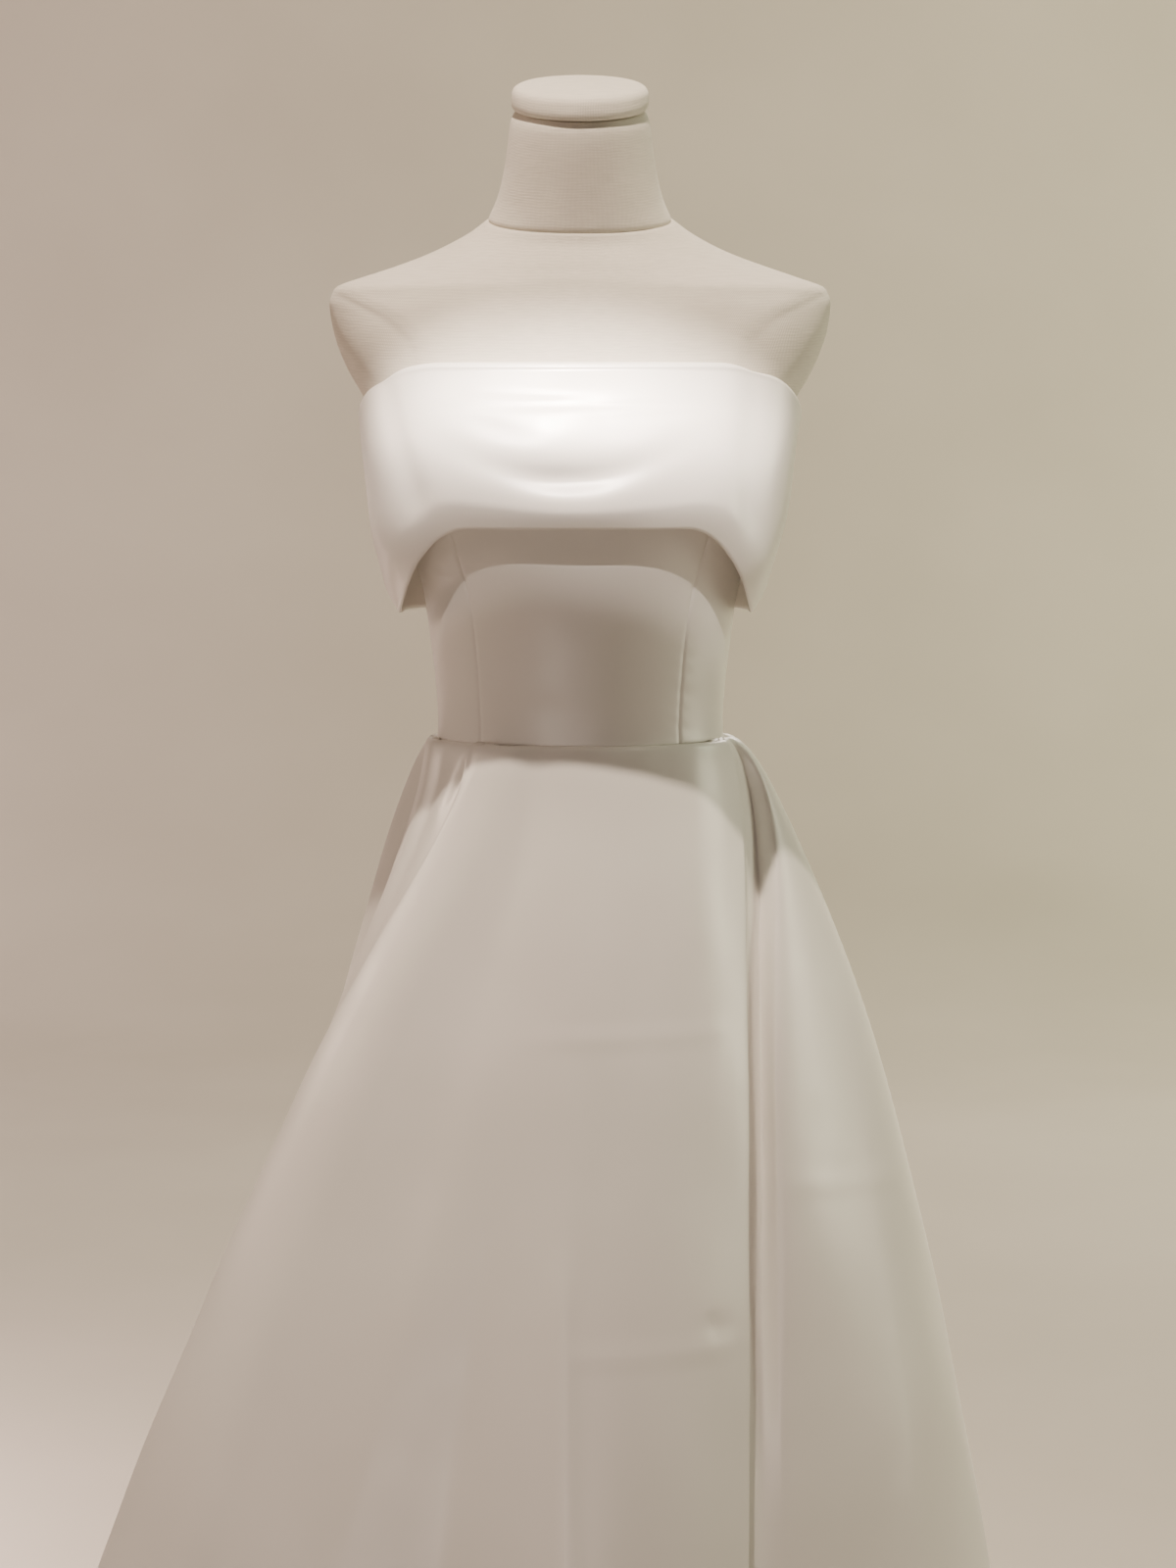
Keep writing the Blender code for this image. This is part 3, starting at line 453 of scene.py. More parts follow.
def skirt_panels():
    """The seven panels of the skirt, each as its columns in order round the body."""
    back_l = [face_column("centre_back", "back_l", 0.0, (), back_opening(1))]
    back_l += face([("centre_back", 3), ("back_l", 2), (("back_l", FACE_END), 1)], ("back_l",))[1:]
    back_l += upper_fold("back_l")
    side_back_l = lower_fold("back_l")
    side_back_l += face([("back_pleat_l", 3), ("quarter_l", 3), ("side_l", 1)])
    side_back_l[-1] = face_column("quarter_l", "side_l", 1.0, (), seam_shift(-1))
    side_l = [face_column("side_l", "side_front_l", 0.0, (), seam_shift(1))]
    side_l += face(
        [("side_l", 4), ("side_front_l", 3), ("ridge_l", 2), ("recess_l", 2), ("strip_l", 1)]
        + [("front_pleat_l", 1)]
    )[1:]
    side_l += lower_fold("front_l")[::-1]
    front = upper_fold("front_l")[::-1]
    front += face(
        [(("front_l", FACE_END), 3), ("front_mid_l", 3), ("centre_front", 2), ("valley", 2)]
        + [("fold", 2), ("front_side_r", 2), (("front_r", FACE_END), 1)],
        ("front_l", "front_r"),
    )
    front += upper_fold("front_r")
    side_r = lower_fold("front_r")
    side_r += face([("front_pleat_r", 2), ("side_valley_r", 2), (("side_r", FACE_END), 1)], ("side_r",))
    side_r += upper_fold("side_r")
    side_back_r = lower_fold("side_r")
    side_back_r += face([("side_pleat_r", 2), ("side_r", 3), ("quarter_r", 3), ("back_pleat_r", 1)])
    side_back_r += lower_fold("back_r")[::-1]
    back_r = upper_fold("back_r")[::-1]
    back_r += face([(("back_r", FACE_END), 2), ("back_r", 3), ("centre_back_end", 1)], ("back_r",))
    back_r[-1] = face_column("back_r", "centre_back_end", 1.0, (), back_opening(-1))
    return {
        "skirt_back_left": back_l,
        "skirt_side_back_left": side_back_l,
        "skirt_side_left": side_l,
        "skirt_front": front,
        "skirt_side_right": side_r,
        "skirt_side_back_right": side_back_r,
        "skirt_back_right": back_r,
    }


def spread(start, end, count):
    return [start + (end - start) * i / count for i in range(count + 1)]


def angle_at(x, height, grow):
    """The angle at the back where a section is x from the centre line."""
    row = form_row(height)
    return 180 - math.degrees(math.asin((x / (row["side"] + grow)) ** (row["round_back"] / 2)))


# Bodice panels as their first and last angle
BODICE_PANELS = {
    "bodice_back_right": (-180.0, -BACK_PRINCESS_ANGLE),
    "bodice_side_back_right": (-BACK_PRINCESS_ANGLE, -SIDE_ANGLE),
    "bodice_side_front_right": (-SIDE_ANGLE, -PRINCESS_ANGLE),
    "bodice_front": (-PRINCESS_ANGLE, PRINCESS_ANGLE),
    "bodice_side_front_left": (PRINCESS_ANGLE, SIDE_ANGLE),
    "bodice_side_back_left": (SIDE_ANGLE, BACK_PRINCESS_ANGLE),
    "bodice_back_left": (BACK_PRINCESS_ANGLE, 180.0),
}
BODICE_ROWS_UP = 90

# The bodice's lowest row is tucked behind the skirt
TUCK_DOWN = 1.6 * MM
TUCK_IN = 0.5 * MM

# Half the gap between two panels, and columns beside a seam, as angles from it
SEAM_ANGLE = 0.075
NEAR_SEAM = (0.25, 0.6, 1.1, 1.8, 2.8)
CLEAR_OF_SEAM = 4.0

# Pieces of the cuff as their first and last angle
CUFF_PIECES = {
    "cuff_front": (-SIDE_ANGLE, SIDE_ANGLE),
    "cuff_back_left": (SIDE_ANGLE, 180.0),
    "cuff_back_right": (-180.0, -SIDE_ANGLE),
}

# The lower edge of the cuff, as an oval that stands clear of the bodice
CUFF_LOW = {"left": 0.1365, "right": 0.1435, "front": 0.138, "back": 0.118}
CUFF_LOW_ROUND = (2.9, 2.3)

# Where the cuff's edges at the back are measured: height over the waist, and distance off the form
CUFF_BACK_EDGE = (0.2, 4 * MM)

# How far the cuff swells out half way down, its steps over the fold, and its steps down
CUFF_BULGE = 0.0105
CUFF_TURNS = 3
CUFF_DROPS = 6

# The neck and the cap that ends it: height over the waist, half width, half depths, centre, tilt
NECK_ROWS = (
    (0.3935, 0.0705, 0.0535, 0.0595, 0.008, 13.5),
    (0.4110, 0.0628, 0.0520, 0.0570, 0.005, 14.0),
    (0.4300, 0.0580, 0.0510, 0.0550, 0.002, 14.5),
    (0.4490, 0.0553, 0.0500, 0.0530, -0.001, 15.0),
    (0.4650, 0.0532, 0.0490, 0.0515, -0.003, 15.5),
    (0.4740, 0.0505, 0.0470, 0.0490, -0.004, 15.5),
)
CAP_ROWS = (
    (0.4743, 0.0440, 0.0430, 0.0440, -0.004, 15.5),
    (0.4755, 0.0490, 0.0480, 0.0490, -0.004, 15.5),
    (0.4785, 0.0515, 0.0505, 0.0515, -0.004, 15.5),
    (0.4850, 0.0518, 0.0508, 0.0518, -0.004, 15.5),
    (0.4905, 0.0505, 0.0495, 0.0505, -0.004, 15.5),
    (0.4935, 0.0460, 0.0450, 0.0460, -0.004, 15.5),
    (0.4945, 0.0380, 0.0372, 0.0380, -0.004, 15.5),
)


def skirt_middle():
    """The middle surface of each skirt panel, rows down and columns to the wearer's left."""
    levels = [(i / SKIRT_ROWS_DOWN) ** SKIRT_ROW_POWER for i in range(SKIRT_ROWS_DOWN + 1)]
    sections = [Section(t) for t in levels]
    heights = [WAIST_Z - SEAM / 2 - (SKIRT_LENGTH - SEAM / 2) * t for t in levels]
    grids = {}
    for name, columns in skirt_panels().items():
        rows = []
        for section, height in zip(sections, heights):
            flat = [column(section) for column in reversed(columns)]
            rows.append([(point.x, point.y, height) for point in flat])
        grids[name] = np.array(rows)
    return grids


def panel_angles(first, last, step):
    """Angles over a panel, closer together beside its two seams."""
    start, end = first + CLEAR_OF_SEAM, last - CLEAR_OF_SEAM
    middle = spread(start, end, max(int((end - start) / step), 1))
    after = [first + away for away in NEAR_SEAM]
    before = [last - away for away in reversed(NEAR_SEAM)]
    return [first] + after + middle + before + [last]


def bodice_middle(first, last):
    """The middle surface of a bodice panel."""
    rows = []
    for i in range(BODICE_ROWS_UP, -2, -1):
        rows.append([])
        for angle in panel_angles(first, last, 1.6):
            height, out = max(neckline(angle) * i / BODICE_ROWS_UP, SEAM / 2), BODICE_MID
            if i < 0:
                height, out = -TUCK_DOWN, BODICE_MID - TUCK_IN
            used = min(max(angle, first + SEAM_ANGLE), last - SEAM_ANGLE)
            if abs(angle) == 180:
                used = math.copysign(angle_at(ZIP_WIDTH / 2 + SEAM, height, EASE), angle)
            rows[-1].append(tuple(form_point(used, height, out)))
    return np.array(rows)


def cuff_point(angle, step):
    """A point of the cuff's middle surface: over the bodice's top edge, then down outside it."""
    top = neckline(angle) + SEAM + CUFF_CLOTH / 2 + CUFF_ABOVE
    if step <= CUFF_TURNS:
        bend = math.pi / 2 * step / CUFF_TURNS
        point = form_point(angle, neckline(angle), CUFF_START + CUFF_ROLL * math.sin(bend))
        point.z = WAIST_Z + top - CUFF_ROLL * (1 - math.cos(bend))
        return point
    start = cuff_point(angle, CUFF_TURNS)
    side = CUFF_LOW["left" if angle > 0 else "right"]
    x, y = oval_point(angle, side, CUFF_LOW["front"], CUFF_LOW["back"], 0.0, *CUFF_LOW_ROUND)
    end = Vector((x, y, WAIST_Z + cuff_low(angle)))
    share = (step - CUFF_TURNS) / CUFF_DROPS
    round_body = math.radians(angle)
    out = Vector((math.sin(round_body), -math.cos(round_body), 0))
    full = max(math.cos(round_body), 0.0) ** 0.5
    return start.lerp(end, share) + out * (CUFF_BULGE * full * math.sin(math.pi * share))


def cuff_middle(first, last):
    """The middle surface of a piece of the cuff."""
    angles = panel_angles(first, last, 1.5)
    for i, angle in ((0, first), (-1, last)):
        if abs(angle) == 180:
            angles[i] = math.copysign(angle_at(CUFF_BACK_GAP / 2, *CUFF_BACK_EDGE), angle)
        else:
            angles[i] += SEAM_ANGLE if i == 0 else -SEAM_ANGLE
    angles = [angle for angle in angles if abs(angle) <= max(abs(angles[0]), abs(angles[-1]))]
    steps = spread(0.0, CUFF_TURNS, 9)[:-1] + spread(CUFF_TURNS, CUFF_TURNS + CUFF_DROPS, 52)
    return np.array([[tuple(cuff_point(angle, step)) for angle in angles] for step in steps])


def form_rings(rows, angles):
    """Rings of the neck or the cap, tilted forwards."""
    rings = []
    for height, side, front, back, centre, tilt in rows:
        ring = []
        for angle in angles:
            x, y = oval_point(angle, side, front, back, centre, 2.0, 2.0)
            ring.append((x, y, WAIST_Z + height + (y - centre) * math.tan(math.radians(tilt))))
        rings.append(ring)
    return rings


def between_rows(rows, pieces):
    """A table's rows with more of them on smooth curves between."""
    heights = [row[0] for row in rows]
    finer = []
    for a, b in zip(heights, heights[1:]):
        finer += spread(a, b, pieces)[:-1]
    finer.append(heights[-1])
    return [(at, *(hermite(heights, [row[k] for row in rows], at) for k in range(1, 6))) for at in finer]


def unit(ways):
    return ways / np.maximum(np.linalg.norm(ways, axis=-1, keepdims=True), 1e-12)


def normals_of(grid):
    """The outward direction at each point of a grid."""
    return unit(np.cross(np.gradient(grid, axis=0), np.gradient(grid, axis=1)))


def away_from(grid, edge):
    """Each point's distance along the cloth from one edge of its grid."""
    axis = 1 if edge in ("left", "right") else 0
    steps = np.linalg.norm(np.diff(grid, axis=axis), axis=-1)
    along = np.cumsum(steps, axis=axis)
    along = np.insert(along, 0, 0.0, axis=axis)
    if edge in ("right", "bottom"):
        along = np.take(along, [-1], axis=axis) - along
    return along


def gauss(value, width):
    return np.exp(-((value / width) ** 2))


def waves(points, size, seed):
    """A soft unevenness between about -1 and 1, with features of about the given size."""
    random = np.random.default_rng(seed)
    total = np.zeros(points.shape[:-1])
    for _ in range(7):
        way = random.normal(size=3)
        way *= 2 * math.pi / (size * random.uniform(0.7, 1.6)) / np.linalg.norm(way)
        total += np.sin(points @ way + random.uniform(0, 2 * math.pi))
    return total / 3.0


# Unevenness of each cloth: its height, the size of its features, and its seed
UNEVEN = {
    "skirt": (2.2 * MM, 0.34, 11),
    "skirt_fine": (0.5 * MM, 0.09, 12),
    "cuff": (0.7 * MM, 0.085, 21),
    "bodice_drag": (0.22 * MM, 0.07, 31),
    "bodice": (0.30 * MM, 0.11, 32),
    "torso": (0.25 * MM, 0.05, 41),
    "neck": (0.25 * MM, 0.05, 43),
}


def uneven(points, kind):
    height, size, seed = UNEVEN[kind]
    return height * waves(points, size, seed)


# The width of the soft change from front to back at the sides
SIDE_CHANGE = 0.03


def front_share(points):
    """1 on the front of the gown and 0 on its back."""
    return smoothstep(0.5 - points[..., 1] / SIDE_CHANGE)


# The small puckers of a long seam: spacing, depth, distance from the edge, and how far they reach
PUCKER_SPACE = 12.5 * MM
PUCKER_DEPTH = 0.16 * MM
PUCKER_AWAY = 3.0 * MM
PUCKER_REACH = 6.0 * MM


def sewn(grid, edges, depth=0.9 * MM, width=1.6 * MM):
    """Cloth that turns in along its sewn edges, with puckers."""
    for edge in edges:
        away = away_from(grid, edge)
        along = away_from(grid, "top" if edge in ("left", "right") else "left")
        ripple = np.sin(along * 2 * math.pi / PUCKER_SPACE + 1.7 * waves(grid, 0.05, 1))
        puckered = PUCKER_DEPTH * ripple * gauss(away - PUCKER_AWAY, PUCKER_REACH)
        turned = depth * gauss(away, width) + puckered
        grid = grid - normals_of(grid) * turned[..., None]
    return grid


# The share of a crease's length over which each of its ends fades
CREASE_FADE = 0.25


def crease(points, x0, z0, x1, z1, width, depth):
    """A soft line pressed into the cloth, given as seen from the front, in metres over the waist."""
    way = np.array([x1 - x0, z1 - z0])
    length = np.linalg.norm(way)
    way = way / length
    dx, dz = points[..., 0] - x0, points[..., 2] - WAIST_Z - z0
    share = (dx * way[0] + dz * way[1]) / length
    side = dx * way[1] - dz * way[0]
    ends = smoothstep(share / CREASE_FADE + 0.5) * smoothstep((1 - share) / CREASE_FADE + 0.5)
    return depth * gauss(side, width) * ends


# Creases as seen from the front: x and z of both ends, width and depth, in metres, z over the waist
SKIRT_CREASES = {
    "front": (
        (-0.035, -0.2070, 0.108, -0.2060, 0.0042, 0.0007),
        (-0.012, -0.4240, 0.108, -0.4235, 0.0045, 0.0008),
        (0.092, -0.4040, 0.106, -0.4200, 0.0050, -0.0012),
        (-0.012, -0.3650, -0.009, -0.5900, 0.0090, 0.0014),
        (-0.077, -0.0020, -0.100, -0.0500, 0.0030, -0.0013),
        (-0.084, -0.0010, -0.110, -0.0600, 0.0040, 0.0012),
        (-0.150, -0.6500, -0.060, -0.6350, 0.0060, 0.0007),
        (0.150, -0.3200, 0.240, -0.3350, 0.0060, 0.0006),
    ),
    "back": (
        (-0.090, -0.2500, 0.070, -0.2520, 0.0045, 0.0007),
        (-0.070, -0.5200, 0.120, -0.5180, 0.0050, 0.0008),
        (0.060, -0.0100, 0.078, -0.0600, 0.0035, -0.0012),
        (-0.070, -0.0080, -0.094, -0.0650, 0.0040, -0.0011),
        (0.020, -0.3000, 0.034, -0.6400, 0.0110, 0.0014),
        (-0.050, -0.4000, -0.070, -0.8200, 0.0130, -0.0016),
    ),
}


def skirt_surface(grid):
    """The skirt's cloth with its unevenness and creases. Layers that lie together move together."""
    depth = (WAIST_Z - grid[..., 2]) / SKIRT_LENGTH
    out = grid * np.array([1.0, 1.0, 0.0])
    field = np.sqrt(depth) * uneven(grid * np.array([1, 1, 0.45]), "skirt")
    field += smoothstep(depth * 6) * uneven(grid * np.array([1, 1, 0.6]), "skirt_fine")
    front = front_share(grid)
    for row in SKIRT_CREASES["front"]:
        field += front * crease(grid, *row)
    for row in SKIRT_CREASES["back"]:
        field += (1 - front) * crease(grid, *row)
    return grid + unit(out) * (field * smoothstep(depth * 60))[..., None]


# Hollows of the cuff as seen from the front: x, z over the waist, half width, half height, tilt, depth
CUFF_HOLLOWS = (
    (-0.062, 0.2350, 0.026, 0.0075, -14.0, 0.0010),
    (0.010, 0.2520, 0.075, 0.0028, 1.0, 0.0006),
    (-0.040, 0.2600, 0.045, 0.0026, -3.0, 0.0005),
    (0.060, 0.2450, 0.034, 0.0030, 3.0, 0.0004),
)

# The sagging hollow across the cuff: its lowest point, how fast it rises outwards, and its size
SAG_X = -0.010
SAG_Z = 0.1985
SAG_RISE = 3.2
SAG_HALF_WIDTH = 0.055
SAG_HALF_HEIGHT = 0.0105
SAG_DEPTH = 0.0055

# The band that turns under at the cuff's lower edge: its height at the centre front, half the width
# over which it stays low, how far it turns in and with which power, and its stitch line's height and
# depth. At the sides and the back it is twice as high.
CUFF_BAND = 12.5 * MM
CUFF_BAND_HALF_WIDTH = 0.085
CUFF_TURN_IN = 6.0 * MM
CUFF_TURN_POWER = 1.5
CUFF_STITCH = 3.5 * MM
CUFF_STITCH_DEPTH = 0.30 * MM

# How far beyond an upright edge its hollow lies, and its half width
CORNER_HOLLOW = 0.017
CORNER_HALF_WIDTH = 0.012

# Upright edges of the cuff's front plane: side, distance out at the top, distance out lower down by
# the drop, and the depth of the hollow beyond
CUFF_CORNER_TOP = 0.275
CUFF_CORNER_DROP = 0.080
CUFF_CORNERS = (
    (-1, 0.130, 0.107, 0.0026),
    (1, 0.112, 0.108, 0.0028),
)


def cuff_surface(grid):
    """The cuff's cloth: hollows across the front, an edge that turns in, and a soft unevenness."""
    normal = normals_of(grid)
    inward = np.zeros(grid.shape[:-1])
    front = front_share(grid)
    for x, z, half_width, half_height, tilt, depth in CUFF_HOLLOWS:
        turned = math.radians(tilt)
        dx, dz = grid[..., 0] - x, grid[..., 2] - WAIST_Z - z
        along = dx * math.cos(turned) + dz * math.sin(turned)
        across = dz * math.cos(turned) - dx * math.sin(turned)
        inward += front * depth * gauss(along, half_width) * gauss(across, half_height)
    height = grid[..., 2] - WAIST_Z
    aside = grid[..., 0] - SAG_X
    sag = gauss(height - SAG_Z - SAG_RISE * aside**2, SAG_HALF_HEIGHT) * gauss(aside, SAG_HALF_WIDTH)
    inward += front * SAG_DEPTH * sag
    low = away_from(grid, "bottom")
    ahead = gauss(grid[..., 0], CUFF_BAND_HALF_WIDTH) * front
    under = np.clip(1 - low / (CUFF_BAND * (2.0 - ahead)), 0, 1)
    inward += CUFF_TURN_IN * under**CUFF_TURN_POWER
    inward += CUFF_STITCH_DEPTH * gauss(low - CUFF_STITCH, 1.0 * MM)
    for side, top, bottom, sunk in CUFF_CORNERS:
        line = top + (bottom - top) * (CUFF_CORNER_TOP - height) / CUFF_CORNER_DROP
        beyond = gauss(side * grid[..., 0] - line - CORNER_HOLLOW, CORNER_HALF_WIDTH)
        inward += front * sunk * beyond * smoothstep(low / 0.03 - 0.3)
    inward += uneven(grid, "cuff") * smoothstep(away_from(grid, "top") / 0.03)
    return grid - normal * inward[..., None]


def bodice_surface(grid):
    """The bodice's cloth, with faint drag lines towards the waist."""
    height = grid[..., 2] - WAIST_Z
    low = smoothstep((0.11 - height) / 0.09)
    field = uneven(grid * np.array([0.6, 0.6, 2.6]), "bodice_drag") * low
    field += uneven(grid, "bodice")
    return grid + normals_of(grid) * field[..., None]


# The seam round the form's arm plate: height over the waist, and distance from the centre line
ARM_SEAM = (
    (-0.050, 0.3000),
    (0.100, 0.1600),
    (0.200, 0.1240),
    (0.255, 0.1100),
    (0.283, 0.1105),
    (0.302, 0.1190),
    (0.318, 0.1360),
    (0.334, 0.1680),
    (0.347, 0.1935),
)


def outside_arm_seam(points):
    """Distance outside the seam of the form's arm plate, as seen from the front, in metres."""
    heights, aside = zip(*ARM_SEAM)
    return np.abs(points[..., 0]) - np.interp(points[..., 2] - WAIST_Z, heights, aside)


# Grooves along the form's seams: depth and half width. The widths at the neck and the cap are shares
# of the neck's height.
GROOVES = {
    "arm": (0.8 * MM, 1.6 * MM),
    "centre": (0.35 * MM, 1.2 * MM),
    "shoulder": (0.45 * MM, 1.4 * MM),
    "neck": (0.9 * MM, 0.014),
    "cap": (1.0 * MM, 0.05),
}

# How far the form's arm plates are sunk and over what width, and the depth at which the shoulder's
# seam runs
ARM_SUNK = 1.6 * MM
ARM_EDGE = 0.012
SHOULDER_Y = 0.008


def groove(kind, away):
    depth, width = GROOVES[kind]
    return depth * gauss(away, width)


def torso_surface(grid):
    """The form's linen, with the grooves of its seams and flatter arm plates."""
    height = grid[..., 2] - WAIST_Z
    high = smoothstep((height - 0.12) / 0.08)
    outside = outside_arm_seam(grid)
    inward = high * (groove("arm", outside) + ARM_SUNK * smoothstep(outside / ARM_EDGE))
    inward += groove("centre", grid[..., 0])
    inward += groove("shoulder", grid[..., 1] - SHOULDER_Y) * smoothstep((height - 0.30) / 0.03)
    inward += uneven(grid, "torso")
    return grid - normals_of(grid) * inward[..., None]


def placed(name, data):
    """A new object in the scene."""
    obj = bpy.data.objects.new(name, data)
    bpy.context.scene.collection.objects.link(obj)
    return obj


def finish_mesh(name, points, faces, grain, material):
    """A closed mesh with smooth shading, its cloth coordinates in metres, and its body."""
    mesh = bpy.data.meshes.new(name)
    mesh.from_pydata(points.tolist(), [], faces)
    mesh.update()
    shape = bmesh.new()
    shape.from_mesh(mesh)
    bmesh.ops.recalc_face_normals(shape, faces=shape.faces)
    shape.to_mesh(mesh)
    shape.free()
    if grain is not None:
        layer = mesh.uv_layers.new(name="grain")
        corners = np.empty(len(mesh.loops), np.int32)
        mesh.loops.foreach_get("vertex_index", corners)
        layer.uv.foreach_set("vector", grain[corners].astype(np.float32).ravel())
    mesh.materials.append(material)
    mesh.shade_smooth()
    obj = placed(name, mesh)
    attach(obj, BODY)
    return obj


def border(height, width):
    """The indices round a grid's edge, in order."""
    top = list(range(width))
    right = [i * width + width - 1 for i in range(1, height)]
    bottom = [(height - 1) * width + j for j in range(width - 2, -1, -1)]
    left = [i * width for i in range(height - 2, 0, -1)]
    return top + right + bottom + left


# How far a cut edge rounds out, as a share of half the cloth
EDGE_ROUND = 0.45


def shell(name, middle, cloth, material):
    """A thin closed sheet of cloth round a grid of points, with rounded cut edges."""
    height, width = middle.shape[:2]
    half = np.broadcast_to(np.asarray(cloth) / 2, (height, width))[..., None]
    normal = normals_of(middle)
    outwards = np.zeros_like(middle)
    outwards[0] += unit(middle[0] - middle[1])
    outwards[-1] += unit(middle[-1] - middle[-2])
    outwards[:, 0] += unit(middle[:, 0] - middle[:, 1])
    outwards[:, -1] += unit(middle[:, -1] - middle[:, -2])
    rim = (middle + outwards * half * EDGE_ROUND).reshape(-1, 3)
    edge = border(height, width)
    outer, inner = (middle + normal * half).reshape(-1, 3), (middle - normal * half).reshape(-1, 3)
    points = np.concatenate([outer, inner, rim[edge]])
    count = height * width
    index = np.arange(count).reshape(height, width)
    a, b = index[:-1, :-1].ravel(), index[:-1, 1:].ravel()
    c, d = index[1:, :-1].ravel(), index[1:, 1:].ravel()
    faces = np.stack([a, c, d, b], 1).tolist() + (np.stack([a, b, d, c], 1) + count).tolist()
    for i, here in enumerate(edge):
        after = edge[(i + 1) % len(edge)]
        rim_here, rim_after = 2 * count + i, 2 * count + (i + 1) % len(edge)
        faces.append([here, after, rim_after, rim_here])
        faces.append([rim_here, rim_after, after + count, here + count])
    across = away_from(middle, "left")
    across = across - across[:, [width // 2]]
    grain = np.stack([across, -away_from(middle, "top")], -1).reshape(-1, 2)
    return finish_mesh(name, points, faces, np.concatenate([grain, grain, grain[edge]]), material)


def turned(name, rings, material):
    """A closed solid through rings, with a flat end above and below."""
    rings = np.asarray(rings)
    height, width = rings.shape[:2]
    points = np.concatenate([rings.reshape(-1, 3), [rings[0].mean(0)], [rings[-1].mean(0)]])
    top, bottom = height * width, height * width + 1
    index = np.arange(top).reshape(height, width)
    after = np.roll(index, -1, axis=1)
    faces = np.stack([index[:-1], after[:-1], after[1:], index[1:]], -1).reshape(-1, 4).tolist()
    faces += [[here, top, there] for here, there in zip(index[0].tolist(), after[0].tolist())]
    faces += [[here, there, bottom] for here, there in zip(index[-1].tolist(), after[-1].tolist())]
    return finish_mesh(name, points, faces, None, material)


def node(tree, kind, inputs=None, **settings):
    """A new shader node, with each input given as a value or as another node's output."""
    made = tree.nodes.new(kind)
    for name, value in settings.items():
        setattr(made, name, value)
    for name, value in (inputs or {}).items():
        socket = made.inputs[name]
        if isinstance(value, bpy.types.NodeSocket):
            tree.links.new(value, socket)
        else:
            socket.default_value = value
    return made


def shader_of(name, metallic=0.0, **plain):
    """A new material with its tree, its shader with plain values set, and the place in the object."""
    material = bpy.data.materials.new(name)
    material.use_nodes = True
    tree = material.node_tree
    shader = tree.nodes["Principled BSDF"]
    shader.inputs["Metallic"].default_value = metallic
    for socket, value in plain.items():
        shader.inputs[socket.replace("_", " ")].default_value = value
    return material, tree, shader, node(tree, "ShaderNodeTexCoord").outputs["Object"]


def feed(tree, shader, **outputs):
    """Links outputs to the shader's sockets."""
    for socket, output in outputs.items():
        tree.links.new(output, shader.inputs[socket.replace("_", " ")])


def noise(tree, vector, scale, detail=2.0, output="Fac"):
    settings = {"Vector": vector, "Scale": scale, "Detail": detail}
    return node(tree, "ShaderNodeTexNoise", settings).outputs[output]


def fitted(tree, value, start, end, low, high):
    """A value between start and end, moved to between low and high."""
    limits = {"Value": value, "From Min": start, "From Max": end, "To Min": low, "To Max": high}
    return node(tree, "ShaderNodeMapRange", limits).outputs["Result"]


def mixed(tree, share, low, high):
    return node(tree, "ShaderNodeMix", {"Factor": share, 6: low, 7: high}, data_type="RGBA").outputs[2]


def scaled(tree, vector, scale):
    return node(tree, "ShaderNodeMapping", {"Vector": vector, "Scale": scale}).outputs["Vector"]


def varied(tree, vector, scale, low, high):
    """A colour that drifts between two others over the surface."""
    share = fitted(tree, noise(tree, vector, scale, 3.0), 0.32, 0.68, 0.0, 1.0)
    return mixed(tree, share, (*low, 1.0), (*high, 1.0))


def ranged(tree, vector, scale, low, high):
    """A value that drifts between two others over the surface."""
    return fitted(tree, noise(tree, vector, scale), 0.3, 0.7, low, high)


def bumped(tree, height, distance, strength, below=None):
    inputs = {"Height": height, "Distance": distance, "Strength": strength}
    if below is not None:
        inputs["Normal"] = below
    return node(tree, "ShaderNodeBump", inputs).outputs["Normal"]


def darker_low(tree, place, colour, low_tone, height):
    """The colour, a little darker near the floor, in patches."""
    over_floor = node(tree, "ShaderNodeSeparateXYZ", {"Vector": place}).outputs["Z"]
    patches = noise(tree, place, 24.0, 4.0)
    terms = {0: over_floor, 1: 1.0 / height, 2: patches}
    lifted = node(tree, "ShaderNodeMath", terms, operation="MULTIPLY_ADD").outputs[0]
    return mixed(tree, fitted(tree, lifted, 0.55, 1.6, 0.5, 0.0), colour, (*low_tone, 1.0))


def satin_material(name, low, high):
    """Heavy duchess satin: long floats along the grain, a soft gloss and a faint crumple."""
    material, tree, shader, place = shader_of(
        name, Sheen_Weight=0.2, Sheen_Roughness=0.35, Specular_IOR_Level=1.0, Anisotropic=0.3,
        Coat_Weight=0.35, Coat_Roughness=0.32,
    )
    shader.inputs["Sheen Tint"].default_value = (1.0, 0.97, 0.92, 1.0)
    grain = node(tree, "ShaderNodeUVMap", uv_map="grain").outputs["UV"]
    colour = varied(tree, place, 6.0, low, high)
    colour = darker_low(tree, place, colour, tuple(c * 0.86 for c in low), 0.05)
    floats = noise(tree, scaled(tree, grain, (1400.0, 210.0, 1.0)), 1.0, 1.0)
    normal = bumped(tree, noise(tree, place, 17.0), 0.0016, 0.30)
    normal = bumped(tree, floats, 0.00012, 0.35, normal)
    feed(tree, shader, Base_Color=colour, Roughness=ranged(tree, place, 30.0, 0.33, 0.43), Normal=normal)
    return material


